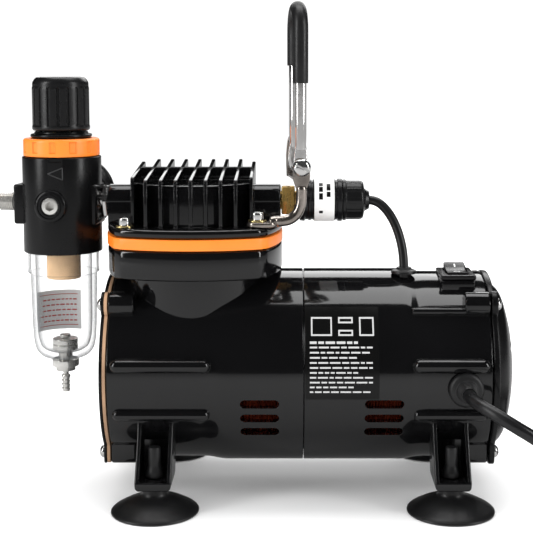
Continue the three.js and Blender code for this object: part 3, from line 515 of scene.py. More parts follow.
def combine(operation, base, *tools):
    for tool in tools:
        boolean = base.modifiers.new(operation, "BOOLEAN")
        boolean.operation = operation
        boolean.solver = "MANIFOLD"
        boolean.object = tool
    bake(base)
    for tool in tools:
        bpy.data.objects.remove(tool)
    return base


def union(base, *tools):
    return combine("UNION", base, *tools)


def cut(base, *tools):
    return combine("DIFFERENCE", base, *tools)


def gather(*parts):
    """Several separate solids in one object."""
    work = bmesh.new()
    for part in parts:
        work.from_mesh(part.data)
    work.to_mesh(parts[0].data)
    work.free()
    for part in parts[1:]:
        bpy.data.objects.remove(part)
    return parts[0]


CREASE = radians(32)


def on_body(node):
    """The body that a CAD node belongs to."""
    return frame["nodes"][node]["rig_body"]


def piece(name, made, slot, nodes=(), body="root", at=Matrix(), look=None):
    """A finished piece. One that replaces CAD nodes rides on the body of the first."""
    body = on_body(nodes[0]) if nodes else body
    made.name = name
    made.data.name = name
    made.data.transform(Matrix.Scale(MM, 4) @ at)
    made.data.materials.clear()
    made.data.materials.append(look or LOOKS[slot])
    made.data.shade_smooth()
    made.data.set_sharp_from_angle(angle=CREASE)
    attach(made, body)
    if nodes:
        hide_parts(*nodes)
    return made


# -------- motor housing
def hull(ends, grow=0.0, solid_core=False):
    """The housing's tube; ends are its plain end, the shoulder, the crown and the seam, along X."""
    end, shoulder, crown, seam = ends
    low, high = END_R + grow, MID_R + grow
    inside = 0 if solid_core else BORE_R
    outside = [(low, end, 1.2), (low, shoulder, 2.5), (high, crown, 2.5), (high, seam, 0.5)]
    return lathe("x", SHAFT, [(inside, end), *outside, (inside, seam)], 160)


def cast_rods(x0, x1):
    rods = []
    for side in (-1, 1):
        for z, radius, proud in ((70.2, 3.4, 0.6), (46, 2.8, 0.4)):
            reach = END_R + proud
            y = side * sqrt(reach * reach - (z - SHAFT[2]) ** 2)
            turns = [step * pi / 12 for step in range(7)]
            dome = [(radius * sin(turn), x0 - radius * cos(turn), 0) for turn in turns]
            far = [(r, x0 + x1 - x, 0) for r, x, _ in reversed(dome)]
            rods.append(lathe("x", (0, y, z), dome + far, 32))
    return rods


def leg(x, side):
    """An open channel on a flat sole with rounded lower corners."""
    def mirrored(points):
        return [(side * y, z, *rest) for y, z, *rest in points]

    low, top = SOLE_Z
    left, right = x - 8.6, x + 8.6
    outer = mirrored([
        (36, low, 1), (57.5, low, 1), (57.5, top, 1.2), (46, 34, 4), (40.5, 47, 2), (30, 45), (30, 24),
    ])
    hollow = mirrored([(39, top, 1.2), (66, top), (66, 52), (43, 52), (36, 33, 3)])
    channel = prism("x", hollow, x - 6.7, x + 6.7, 0.8, 0.3)
    rounded = prism("y", [(low, left, 3), (low, right, 3), (70, right), (70, left)], -70, 70, 0.3, 0.3)
    body = combine("INTERSECT", prism("x", outer, left, right, 0.7, 0.3), rounded)
    return cut(body, channel, drum("z", (x, side * FOOT_Y, 0), 3.2, 0, 25, 32, 0))


def housing(front):
    ends = (-69.4, -22.6, -15.2, 24.65) if front else (114.8, 81.9, 75.1, 24.95)
    end = ends[0]
    inward = 1 if front else -1
    boss = sorted((end, end + 12.5 * inward))
    foot_x = FOOT_X[0 if front else 1]
    vent_x = 3.7 if front else 63.1
    extras = cast_rods(*((-64, -23) if front else (80, 110)))
    extras += [drum("x", (0, y, z), 6.2, *boss, 48, 1.4) for y, z in UPPER_BOSSES]
    for side in (-1, 1):
        corner = [(side * 12, 19), (side * 12, 36), (side * 33, 36), (side * 33, 18, 3.2)]
        extras.append(prism("x", corner, *boss, 1.2, 0.4))
        extras.append(leg(foot_x, side))
        if not front:
            extras.append(drum("x", (0, side * 34.4, 94.2), 1.8, 77, 103, 20, 1.2))
    vents = [
        prism("y", stadium(z, vent_x, 18.6, 4.1), *span, 0.0)
        for z in (52, 44.6, 37.2) for span in ((-60, -30), (30, 60))
    ]
    made = union(hull(ends), *extras)
    bore = drum("x", SHAFT, BORE_R - 0.05, min(end, 24) - 3, max(end, 25) + 3, 160, 0)
    made = cut(made, bore, *vents)
    if front:
        made = cut(made, drum("z", (HEAD_X, 0, 0), 22, SHAFT[2], 125, 96, 0))
    else:
        seat = block(ROCKER, 8.2, 12.3, 98, 107, 0.4, 1.2)
        made = union(made, cut(seat, drum("x", SHAFT, BORE_R, 85, 113, 160, 0)))
        flat, well = block(ROCKER, 9, 13.4, 107, 120), block(ROCKER, 7.1, 11.1, 88, 120)
        made = cut(made, flat, well, drum("z", (*CABLE_HOLE, 0), 3.6, 95, 120, 32, 0))
        made = cut(made, drum("y", (LEAD_EXIT[0], 0, LEAD_EXIT[2]), 8.8, -60, -46.8, 48, 0))
    return made


piece("front_shell", housing(True), "gloss_black", ["front_housing"])
piece("rear_shell", housing(False), "gloss_black", ["rear_housing"])


# -------- windings behind the vents
def winding(x0, x1):
    """Wires laid side by side round the stator's end."""
    wires = round((x1 - x0) / 1.5)
    outside = []
    for i in range(wires * 4 + 1):
        x = x0 + (x1 - x0) * i / (wires * 4)
        outside.append((39 + 1.2 * abs(sin(pi * i / 4)), x, 0))
    return lathe("x", SHAFT, [(26, x0, 0), *outside, (26, x1, 0)], 96)


piece("winding_wires_front", winding(-6.4, 14.8), "copper", ["stator_winding_front"])
piece("winding_wires_rear", winding(50.2, 72.4), "copper", ["stator_winding_rear"])


# -------- end covers
def end_outline(grow):
    """Round above and square below, as the ends of the housing are."""
    radius, y, z = END_R + grow, 33 + grow, 18 - grow
    turn = atan2(sqrt(radius * radius - y * y), y)
    arc = []
    steps = 60
    for step in range(steps + 1):
        angle = -turn + (pi + 2 * turn) * step / steps
        arc.append((radius * cos(angle), SHAFT[2] + radius * sin(angle), 0))
    return [(-y, z, 3.2), (y, z, 3.2), *arc]


def plate(x0, x1, grow, fillet):
    ears = [drum("x", (0, y, z), 6.2 + grow, x0, x1, 48, fillet) for y, z in UPPER_BOSSES]
    return union(prism("x", end_outline(grow), x0, x1, fillet), *ears)


def pan_screws(x, facing):
    """Round-headed screws with a cross in each."""
    heads = []
    profile = [(0, 0), (3.1, 0, 0.2), (3.0, 1.1 * facing, 0.9), (1.9, 2.2 * facing, 0.9), (0, 2.6 * facing)]
    for y, z in COVER_SCREWS:
        cross = [block((x + 2 * facing, y), 1, a, z - b, z + b) for a, b in ((0.35, 1.6), (1.6, 0.35))]
        heads.append(cut(lathe("x", (x, y, z), profile, 40), *cross))
    return gather(*heads)


def front_cover():
    dish = lathe("x", SHAFT, [(0, -74.4), (24, -74.4, 3), (30, -72.2, 2), (0, -72.2)], 120)
    return union(plate(-72.8, -71.5, 0, 0.4), dish)


def rear_cover():
    dome = lathe("x", SHAFT, [
        (0, 129.3), (14, 128.9, 6), (25, 127.7, 6), (38, 123.8, 5), (43, 117.5, 1), (40.6, 117.5),
        (36.4, 121.8, 3), (23, 125.7, 5), (0, 126.9),
    ], 128)
    flange = cut(plate(115.1, 118.2, 0.4, 0.8), drum("x", SHAFT, 40.6, 110, 125, 128, 0))
    slots = []
    for i in range(6):
        slot_tool = prism("x", stadium(0, 24, 14, 4), 108, 140, 0)
        turn = Matrix.Rotation(radians(60 * i), 4, "X")
        slots.append(moved(slot_tool, Matrix.Translation(SHAFT) @ turn))
    return cut(union(flange, dome), *slots)


gasket = cut(plate(-71.2, -69.7, -0.2, 0.1), drum("x", SHAFT, 38, -75, -65, 96, 0))
piece("front_gasket_sheet", gasket, "tan_gasket", ["front_gasket"])
piece("front_end_cover", front_cover(), "cast_black", ["front_cover"])
piece("rear_end_cover", rear_cover(), "cast_black", ["rear_cover"])
piece("front_cover_screws", pan_screws(-72.75, -1), "chrome")
piece("rear_cover_screws", pan_screws(118.15, 1), "chrome")


# -------- suction feet
def cup(x, y):
    return lathe("z", (x, y, 0), [
        (0, 0), (21, 0, 0.3), (21, 0.9, 0.4), (19.6, 2.1, 2), (14, 5.2, 3), (9.4, 6.9, 2), (7, 7.7, 1),
        (5.8, 8.9, 0.8), (5.6, 12.3, 0.3), (2.9, 12.3), (2.9, 17.1), (4.6, 17.1, 0.4), (4.4, 19.4, 0.6),
        (3.2, 22.4, 1), (2.9, 31.6, 1), (0, 31.6),
    ])


for end, x in zip(("left", "right"), FOOT_X):
    for side, y in (("front", -FOOT_Y), ("back", FOOT_Y)):
        piece(f"foot_{end}_{side}", cup(x, y), "black_rubber", [f"suction_foot_{end}_{side}"])


# -------- cylinder and head
def head_plan(grow=0.0):
    """Four bulging sides that meet at soft corners."""
    bulge, corner = 43.6 + grow, 35.7 + grow
    sagitta = bulge - corner
    arc_r = (corner * corner + sagitta * sagitta) / (2 * sagitta)
    half = asin(corner / arc_r) * 0.93
    steps = 16
    points = []
    for side in range(4):
        for step in range(steps + 1):
            angle = half * (2 * step / steps - 1)
            x, y = arc_r * cos(angle) - (arc_r - bulge), arc_r * sin(angle)
            turn = side * pi / 2
            at = (HEAD_X + x * cos(turn) - y * sin(turn), x * sin(turn) + y * cos(turn))
            points.append((*at, 1.2 if step in (0, steps) else 0))
    return points


def on_head(radius, low, high):
    return drum("z", (HEAD_X, 0, 0), radius, low, high, 96, 0)


def cylinder_block():
    neck = drum("z", (HEAD_X, 0, 0), 36, 61, 112, 160, 0)
    neck = cut(neck, hull((-80, -22.6, -15.2, 40), 0.1, True))
    made = union(prism("z", head_plan(), 110, 124.4, 1.6), neck, on_head(21.6, 92, 112))
    return cut(made, on_head(18.3, 80, 130))


FINS, FIN_PITCH, FIN_HALF = 9, 7.2, 33


def fin(index):
    """A fin whose top slopes; the outermost two are shorter."""
    half = 25 if index in (0, FINS - 1) else FIN_HALF
    x = HEAD_X + (index - (FINS - 1) / 2) * FIN_PITCH

    def top(y):
        return 157.4 + (y + FIN_HALF) / (2 * FIN_HALF) * 5.8

    outline = [(-half, 133), (half, 133), (half, top(half), 2), (-half, top(-half), 1.6)]
    return prism("x", outline, x - 0.9, x + 0.9, 0.45, 0.2)


def finned_head():
    core = drum("z", (HEAD_X, 0, 0), 31.2, 133, 154.5, 120, 0.8)
    core = combine("INTERSECT", core, block((HEAD_X, 0), 29.6, 40, 100, 180, 0.2, 0.6))
    ridge = box((HEAD_X - 28.8, HEAD_X + 28.8), (4.5, 8), (134, 160.9), 0.8, 0.6)
    ports = []
    for x0, x1 in ((-72.9, -49.5), (-9.5, 13.5)):
        ports.append(drum("x", HEAD_PORT, 8.2, x0, x1, 64, 1.1))
        ports.append(box((x0, x1), (-8.2, 8.2), (133, HEAD_PORT[2]), 0.6, 1.1))
    fins = [fin(i) for i in range(FINS)]
    made = union(prism("z", head_plan(), 130.3, 134.5, 1.6), core, ridge, *ports, *fins)
    return cut(made, drum("x", HEAD_PORT, 5, -80, 20, 40, 0), on_head(17, 125, 142))


piece("cylinder_casting", cylinder_block(), "gloss_black", ["cylinder_block"])
seal = cut(prism("z", head_plan(0.3), 124.7, 130, 0.5), on_head(22, 120, 135))
piece("orange_plate", seal, "orange", ["orange_seal_plate"])
piece("cylinder_head_fins", finned_head(), "gloss_black", ["finned_head"])


def socket_screw(x, y, z):
    head = lathe("z", (x, y, z), [(0, 0.8), (2.9, 0.8), (2.9, 4.6, 0.5), (0, 4.6)], 48, 0.2)
    return cut(head, prism("z", hexagon(x, y, 2.6), z + 2.2, z + 6, 0))


HEAD_TOP_Z, BRACKET_THICK = 134.6, 2.7
for row, y in (("front", -HEAD_SCREW[1]), ("back", HEAD_SCREW[1])):
    for column, x in (("left", HEAD_X - HEAD_SCREW[0]), ("right", HEAD_X + HEAD_SCREW[0])):
        name = f"{row}_{column}"
        z = HEAD_TOP_Z + (BRACKET_THICK if name == "front_right" else 0)
        piece(f"socket_screw_{name}", socket_screw(x, y, z), "chrome", [f"head_screw_{name}"])
        washer = lathe("z", (x, y, z), [(1.9, 0), (4.4, 0, 0.2), (4.4, 0.8, 0.3), (1.9, 0.8)], 48, 0.1)
        piece(f"washer_{name}", washer, "brass", look=GOLD_WASHER)


# -------- pressure switch
def ribbed(count, depth, low, high, share, inside=3):
    """A wave that sinks narrow grooves into a round piece between two heights, outside a radius."""
    def wave(angle, radius, height):
        if not low < height < high or radius < inside:
            return radius
        phase = (angle * count / (2 * pi)) % 1
        return radius - (depth if phase < share else 0)
    return wave


def switch_print():
    """A few plain bars in place of the printing on the band."""
    marks = []
    rows = {32.6: ((122, 134), (137, 152), (156, 173), (204, 212)), 36.4: ((126, 148), (152, 166))}
    for row, spans in rows.items():
        marks += [arc_patch("x", HEAD_PORT, 10.73, 0.05, span, (row, row + 1.9), 6) for span in spans]
    return gather(*marks)


def threaded_nut(across, low, high, fillet, radius, ends):
    """A hexagon on a round pipe, along the head's port."""
    nut = prism("x", hexagon(0, HEAD_PORT[2], across), low, high, fillet)
    return union(nut, drum("x", HEAD_PORT, radius, *ends, 48))


brass_hex = threaded_nut(13.8, 13.8, 20.6, 0.8, 4.6, (6, 22.6))
piece("brass_fitting", brass_hex, "brass", ["port_fitting"])
can = lathe("x", HEAD_PORT, [
    (0, 22.9), (10.4, 22.9, 0.4), (10.7, 25.4, 0.3), (9.9, 25.9), (9.9, 27.2), (10.3, 27.4), (10.3, 28.6),
    (9.9, 28.8), (9.9, 29.8), (10.55, 30), (10.55, 40.6), (10, 40.9), (10, 41.8), (10.7, 42),
    (10.7, 44.3, 0.4), (0, 44.3),
], 96, 0.2)
piece("pressure_switch_can", can, "black_plastic", ["pressure_switch"])
band = pipe("x", HEAD_PORT, 10.5, 10.72, 30.3, 40.3, 96, 0.05)
piece("pressure_switch_band", band, "white_plastic")
piece("pressure_switch_marks", switch_print(), "black_plastic")
cap = lathe("x", HEAD_PORT, [
    (0, 44.6), (10.3, 44.6, 0.3), (10.3, 46), (9.8, 46.4), (9.8, 53.2, 0.6), (9.2, 54.9, 1),
    (5.6, 55.6, 0.8), (4.4, 58, 0.5), (2.3, 58), (2.3, 50), (0, 50),
], 120, 0.2, ribbed(30, 0.12, 46.2, 53.4, 0.4))
piece("pressure_switch_ribbed_cap", cap, "black_plastic", ["pressure_switch_cap"])
CABLE_ROUTE = [
    (50.6, *HEAD_PORT[1:]), (58, *HEAD_PORT[1:]), (62.5, -0.8, 143.4), (66.6, -2.4, 139.8),
    (70.2, -4.6, 134.2), (73, -7, 126.8), (74.6, -9, 118.6), (*CABLE_HOLE, 111), (*CABLE_HOLE, 103),
]
cable = tube(CABLE_ROUTE, 2.3, 24, 6)
piece("switch_cable", cable, "black_rubber", ["pressure_switch_cable"], look=WOUND_CABLE)
grommet = lathe("z", (*CABLE_HOLE, 0), [
    (2.4, 104.2), (3.3, 104.2), (3.3, 108.9), (6.4, 108.9, 0.4), (6.2, 110.4, 0.6), (4, 111, 0.5),
    (3.5, 112, 0.3), (2.4, 112),
], 64, 0.2)
piece("cable_grommet_ring", grommet, "black_rubber", ["cable_grommet"])

# -------- folding handle
LEG_GAP = 22
HANDLE_TOP = 239.4 - PIVOT_Z


def handle_path(near_z, far_z):
    bend = LEG_GAP / 2
    arch = []
    steps = 12
    for i in range(steps + 1):
        angle = pi * (1 - i / steps)
        arch.append((0, bend + bend * cos(angle), HANDLE_TOP - bend + bend * sin(angle)))
    near = [(0, 0, z) for z in (near_z, 50, 58)]
    far = [(0, LEG_GAP, z) for z in (58, 52, far_z)]
    return [*near, *arch, *far]


def handle_wire():
    outline = [
        (-3.6, -1.8, 1.6), (-3.6, 1.8, 1.6), (0, 3.6, 1.6), (8, 3, 2), (13, 2.2, 1), (13, -2.2, 1),
        (8, -3, 2), (0, -3.6, 1.6),
    ]
    eyes = [prism("y", outline, y - 1.4, y + 1.4, 0.5, 0.5) for y in (0, LEG_GAP)]
    return union(tube(handle_path(8, 8), 2.9, 32, 6), *eyes)


def handle_bracket():
    """An eye under the head's screw, a bent rod, a flattened near ear, a bridge and a far ear."""
    x, y, z = PIVOT.inverted() @ Vector((HEAD_X + HEAD_SCREW[0], -HEAD_SCREW[1], 134.8))
    rod_z = z + 2.6
    mid = -3.75
    pad = prism("z", stadium(0, 0, 15, 10), z, z + 2.4, 0.5)
    pad = moved(pad, Matrix.Translation((x + 2.2, y - 0.2, 0)) @ Matrix.Rotation(pi / 2, 4, "Z"))
    route = [
        (x + 6, y - 0.3, rod_z - 0.6), (x + 9.5, (y + mid) / 2, rod_z), (-10.5, mid, rod_z),
        (-5.6, mid, rod_z + 0.9), (-2.2, mid, rod_z + 3.6), (-0.5, mid, rod_z + 7.6), (0, mid, rod_z + 12),
        (0, mid, -9),
    ]
    rod = tube(route, 2.6, 28, 6)
    near = [
        (-13.5, -1.6, 1), (-10, -2.6, 1.5), (-5.5, -4.2, 1.5), (1, -4.1, 2), (4, -2.4, 1.5), (4.4, 0, 1),
        (4, 2.4, 1.5), (1, 4.1, 2), (-5.5, 4.2, 1.5), (-10, 2.6, 1.5), (-13.5, 1.6, 1),
    ]
    ear = prism("y", near, -4.7, -2.8, 0.5, 0.4)
    bridge = box((-3.2, 3.2), (-4.6, LEG_GAP + 5), (-6.6, -4.9), 0.4, 0.6)
    far = [
        (-6.6, -3.6), (4, -3.9, 2), (12, -3.2, 2), (17.4, -0.4, 0.6), (17.4, 1.2, 0.6), (12, 2.8, 2),
        (4, 3.9, 2), (-6.6, 3.6),
    ]
    far_ear = prism("y", far, LEG_GAP + 3.3, LEG_GAP + 5, 0.4, 0.5)
    made = union(pad, rod, ear, bridge, far_ear)
    return cut(made, drum("y", ORIGIN, 2.4, -10, 40, 32, 0), drum("z", (x, y, 0), 2.6, -60, 0, 32, 0))


def pivot_screw():
    shank = drum("y", ORIGIN, 2.1, -6, LEG_GAP + 7.4, 32)
    head = lathe("y", ORIGIN, [
        (0, -5), (4.4, -5, 0.3), (4.3, -6.2, 0.6), (3.2, -7.4, 0.9), (1.8, -7.8, 0.6), (0, -7.9),
    ], 64)
    slot_tool = moved(box((-5, 5), (-9, -6.9), (-0.45, 0.45)), Matrix.Rotation(0.5, 4, "Y"))
    nut = prism("y", hexagon(0, 0, 7), LEG_GAP + 5.3, LEG_GAP + 7.7, 0.4)
    return union(cut(head, slot_tool), shank, nut)


piece("handle_bent_wire", handle_wire(), "chrome", ["handle_wire"], at=PIVOT)
sleeve = tube(handle_path(40.4, 48.8), 3.75, 32, 6, inner=3.05)
piece("handle_rubber_sleeve", sleeve, "black_rubber", ["handle_sleeve"], at=PIVOT)
piece("handle_bent_bracket", handle_bracket(), "chrome", ["handle_bracket"], at=PIVOT, look=DULL_NICKEL)
piece("handle_pivot_bolt", pivot_screw(), "chrome", ["handle_pivot_screw"], at=PIVOT)


# -------- filter-regulator
def on_reg(profile, sides=96, soft=0.3, wave=None):
    return lathe("z", ORIGIN, profile, sides, soft, wave)


def regulator_body():
    outer = on_reg([
        (0, 119), (19.6, 119, 0.5), (19.6, 166.9, 0.6), (14.6, 167), (14.6, 176.4), (15.2, 176.8),
        (15.2, 178, 0.5), (13.4, 178.4), (13.1, 179.4), (0, 179.4),
    ], 128)
    blocks = box((-22.9, 19.8), (-8.5, 8.5), (133, 153), 1.2, 1.6)
    frames = [box(sides, (-5.6, 5.6), (136, 151), 0.2, 0.8) for sides in ((-24, -21.9), (18.9, 21))]
    boss = lathe("y", REG_PORT, [(0, -14), (8, -14), (8, -20.6, 1), (6.6, -21.4, 0.6), (0, -21.4)])
    made = union(outer, blocks, boss)
    ring_groove = pipe("y", REG_PORT, 5.6, 6.2, -22, -20.9)
    port = drum("y", REG_PORT, 4.6, -30, -12, 48, 0)
    room = pipe("z", ORIGIN, 3.6, 15.8, 118, 131)
    notch = box((-3.4, 3.4), (-22, -18.6), (164.9, 168))
    notch = moved(notch, Matrix.Rotation(radians(7), 4, "Z"))
    return cut(made, *frames, ring_groove, port, room, notch)


def flow_mark():
    """A raised outline triangle on the body's front, coloured lighter than the body as a painted highlight on
    its raised edges.
    """
    bars = []
    radius, steps = 19.6, 8
    corners = [(-93, 159.4), (-72, 156.4), (-72, 162.3)]
    for (angle0, z0), (angle1, z1) in zip(corners, corners[1:] + corners[:1]):
        route = []
        for step in range(steps + 1):
            angle = radians(angle0 + (angle1 - angle0) * step / steps)
            route.append((radius * cos(angle), radius * sin(angle), z0 + (z1 - z0) * step / steps))
        bars.append(tube(route, 0.3, 8, 1))
    return gather(*bars)


def knob():
    grips = ribbed(18, 0.8, 182.2, 201, 0.22)
    heights = [(13.6, 179.8, 0.5), (14.3, 180.6, 0.3), (14.3, 182, 0.2)]
    heights += [(14.1, 182.4 + 0.5 * i, 0) for i in range(38)]
    heights += [(13.9, 201.8, 0.3), (13.9, 203.8, 1.2), (12.2, 206.3, 1.6)]
    inside = [(0, 195.6), (5.3, 195.6), (5.3, 179.8)]
    return on_reg([*inside, *heights, (9.6, 206.5, 0.6), (9.2, 205.9, 0.5), (0, 205.9)], 216, 0.3, grips)


PANEL_ANGLES, PANEL_Z, PANEL_R = (78, 162), (75, 95.7), 17.0
RULES_R = PANEL_R - 0.12


def on_bowl(radius, angles, heights, steps):
    return arc_patch("z", ORIGIN, radius, 0.1, angles, heights, steps)


def bowl_lines():
    """Plain red rules in place of the panel's printing."""
    first, last = PANEL_ANGLES[0] + 6, PANEL_ANGLES[1] - 6
    bottom, top = PANEL_Z
    bars = [on_bowl(RULES_R, (first, last), (z, z + 0.35), 16) for z in (bottom + 2, top - 2.4)]
    for row in range(5):
        low, z = first + 2, bottom + 4.2 + 2.8 * row
        while low < last - 8:
            length = random.uniform(4, 9)
            bars.append(on_bowl(RULES_R, (low, low + length), (z, z + 0.7), 4))
            low += length + 2.2
    return gather(*bars)


def drain_valve():
    barbs = []
    for i in range(4):
        z = 46 + 2.1 * i
        barbs += [(1.7, z), (2.3, z + 1.7), (2.3, z + 1.9)]
    stem = [(2.0, 54.8), (1.4, 55.2), (1.4, 74.2), (2.7, 74.2, 0.2), (2.7, 75.8, 0.4), (0, 75.8)]
    return on_reg([(0, 46), *barbs, *stem], 48, 0.1)


def outlet_stub():
    threads = []
    pitch = 0.95
    for i in range(8):
        x = -31.6 + pitch * i
        threads += [(4.7, x), (3.95, x + pitch / 2)]
    outside = [(4.2, -32.2, 0.3), *threads, (3.7, -23.8), (3.7, -13)]
    return lathe("x", REG_PORT, [(2.4, -32.2), *outside, (2.4, -13)], 96, 0.12)


def port_plug():
    screw = lathe("y", REG_PORT, [(0, -15), (4.3, -15), (4.3, -21.1, 0.8), (0, -21.1)], 64)
    return cut(screw, prism("y", hexagon(REG_PORT_Z, 0, 4.2), -24, -17.6, 0))


reg = {"at": REGULATOR}
piece("regulator_casting", regulator_body(), "cast_black", ["regulator_body"], **reg)
# The raised triangle carries the painted highlight colour, not the body's black.
piece("regulator_flow_mark", flow_mark(), "cast_black", look=FLOW_MARK_PAINTED_HIGHLIGHT, **reg)
piece("regulator_grooved_knob", knob(), "black_plastic", ["regulator_knob"], **reg)
# Levels close to each other, so that the notches end sharply.
levels = [(18.9, z, 0) for z in (169.1, 169.4, 174.4, 174.7)]
notched_ring = on_reg([
    (15, 167.3), (18.9, 167.3, 0.5), *levels, (18.7, 175.4), (18, 176, 0.4), (15, 176),
], 240, 0.3, ribbed(12, 0.7, 169.3, 174.5, 0.3, 17))
piece("regulator_notched_ring", notched_ring, "orange", ["regulator_ring"], **reg)
# A collar with grooves, a wall that narrows downwards and a round bottom with a hole.
clear_bowl = on_reg([
    (15.3, 130.6), (15.3, 118.9), (17.9, 118.7), (17.9, 118, 0), (17.9, 113, 0), (17.9, 109.4, 0),
    (17.9, 108.3, 0.6), (16.7, 107.9, 0.4), (16.1, 82, 3), (15.7, 74, 3), (14.6, 68.6, 3),
    (11.8, 65.2, 2), (6, 63.6, 1), (3.6, 63.4), (3.6, 67), (9, 67.8, 2), (12, 70, 2), (13.4, 75, 3),
    (13.9, 84, 3), (14.3, 130.6),
], 192, 0.2, ribbed(8, 0.5, 109, 118.4, 0.22, 17.4))
piece("filter_clear_bowl", clear_bowl, "clear_bowl", ["filter_bowl"], **reg)
panel = on_bowl(PANEL_R, PANEL_ANGLES, PANEL_Z, 24)
piece("filter_bowl_panel", panel, "white_plastic", look=PANEL_WHITE, **reg)
piece("filter_bowl_rules", bowl_lines(), "red_enamel", **reg)
element = on_reg([(4, 105, 0), (8.5, 105, 0.6), (8.5, 117.6, 0.3), (4, 117.6, 0)], 72)
piece("filter_sinter", element, "sintered_bronze", ["filter_element"], **reg)
ring_nuts = on_reg([
    (1.8, 57.2), (4.9, 57.2, 0.3), (4.9, 59.6), (6.8, 59.6, 0.4), (6.8, 63.1, 0.4), (3.2, 63.1), (3.2, 68),
    (6.3, 68, 0.4), (6.3, 70.6, 0.2), (5.7, 70.9), (6.3, 71.2, 0.2), (6.3, 73.8, 0.5), (1.8, 73.8),
], 72, 0.1)
piece("drain_ring_nuts", ring_nuts, "plain_steel", ["drain_nut"], **reg)
piece("drain_barbed_stem", drain_valve(), "plain_steel", ["drain_valve"], **reg)
piece("outlet_threaded_stub", outlet_stub(), "plain_steel", ["outlet_stub"], **reg)
piece("port_socket_plug", port_plug(), "plain_steel", ["front_port_plug"], **reg)
piece("nipple_hexagon", threaded_nut(15.2, -75.8, -73.3, 0.5, 4.4, (-82, -66)), "chrome", ["inlet_nipple"])


# -------- gauge, which faces the back
def gauge_marks():
    marks = []
    for i in range(51):
        half, reach = (0.12, 13.6) if i % 5 else (0.2, 12.6)
        bar = box((-half, half), (44.1, 44.16), (reach, 15.2))
        turn = Matrix.Rotation(radians(-135 + 5.4 * i), 4, "Y")
        marks.append(moved(bar, Matrix.Translation(REG_PORT) @ turn))
    return gather(*marks)


def gauge_numbers():
    """0 to 10 round the dial, read from the back."""
    numbers = []
    radius = 10.2
    facing = Matrix(((-1, 0, 0, 0), (0, 0, 1, 0), (0, 1, 0, 0), (0, 0, 0, 1)))
    for i in range(6):
        text = bpy.data.curves.new("number", "FONT")
        text.body = str(2 * i)
        text.size = 3.4
        text.align_x = text.align_y = "CENTER"
        text.extrude = 0.03
        holder = add_object("number", text)
        mesh = bpy.data.meshes.new_from_object(holder.evaluated_get(bpy.context.evaluated_depsgraph_get()))
        bpy.data.objects.remove(holder)
        angle = radians(225 - 54 * i)
        at = (-radius * cos(angle), 44.14, REG_PORT_Z + radius * sin(angle))
        numbers.append(moved(add_object("number", mesh), Matrix.Translation(at) @ facing))
    return gather(*numbers)


gauge_can = lathe("y", REG_PORT, [
    (0, 13), (4.2, 13), (4.2, 23.2, 0.8), (17.6, 23.4, 2), (19.2, 25, 1), (19.2, 42.5, 0.4), (20, 43, 0.4),
    (20, 46.6, 0.8), (18.4, 47.2), (18.1, 45.6), (18.2, 44), (0, 44),
], 128)
piece("gauge_can", gauge_can, "cast_black", ["gauge_case"], at=GAUGE)
dial = drum("y", REG_PORT, 17.9, 43.9, 44.08, 96, 0)
piece("gauge_dial", dial, "white_plastic", at=GAUGE)
piece("gauge_dial_marks", gauge_marks(), "black_plastic", at=GAUGE)
piece("gauge_dial_numbers", gauge_numbers(), "black_plastic", at=GAUGE)
lens = drum("y", REG_PORT, 17.9, 45.9, 46.7, 96, 0.1)
piece("gauge_window", lens, "clear_bowl", ["gauge_lens"], at=GAUGE)


# -------- rocker switch
def rocker_frame():
    z = ROCKER[2]
    rim = block(ROCKER, 8.6, 13, z, z + 2.4, 0.7, 1.2)
    well = block(ROCKER, 6.7, 10.7, 98, z + 1, 0.1, 0.4)
    return cut(union(rim, well), block(ROCKER, 5.6, 9.8, 99, z + 6, 0, 0.3))


def rocker_turned(made):
    x, y, z = ROCKER
    return moved(made, Matrix.Translation((x, y, z + 1.4)) @ Matrix.Rotation(radians(8), 4, "X"))


def rocker_button():
    outline = [
        (-9.1, 3.4, 0.8), (0, 1.5, 6), (9.1, 3.4, 0.8), (9.2, -1.4, 0.6), (4, -5.5, 1), (-4, -5.5, 1),
        (-9.2, -1.4, 0.6),
    ]
    return rocker_turned(prism("x", outline, -5.2, 5.2, 0.6, 0.5))


def rocker_marks():
    marks = []
    bar, ring = block(ORIGIN, 0.35, 1.5, 0, 0.06), pipe("z", ORIGIN, 1.1, 1.6, 0, 0.06, 32)
    for mark, side in ((bar, 1), (ring, -1)):
        lean = Matrix.Rotation(0.2 * side, 4, "X")
        marks.append(moved(mark, Matrix.Translation((0, 5.2 * side, 2.56)) @ lean))
    return rocker_turned(gather(*marks))


piece("rocker_bezel", rocker_frame(), "black_plastic", ["rocker_frame"])
piece("rocker_key", rocker_button(), "black_plastic", ["rocker_button"])
piece("rocker_key_marks", rocker_marks(), "white_plastic", body=on_body("rocker_button"))


# -------- label: plain bars and shapes
def label_patch(x0, x1, z0, z1, thick=0.08):
    """A thin print on the round front of the housing, given by its height above the floor."""
    angles = sorted(-degrees(asin((z - SHAFT[2]) / MID_R)) - 180 for z in (z0, z1))
    steps = max(2, round(abs(angles[1] - angles[0]) / 2))
    return arc_patch("x", SHAFT, MID_R + 0.01, thick, angles, (x0, x1), steps)


LABEL_X, LABEL_Z = (25.4, 60.6), (54.5, 96.3)


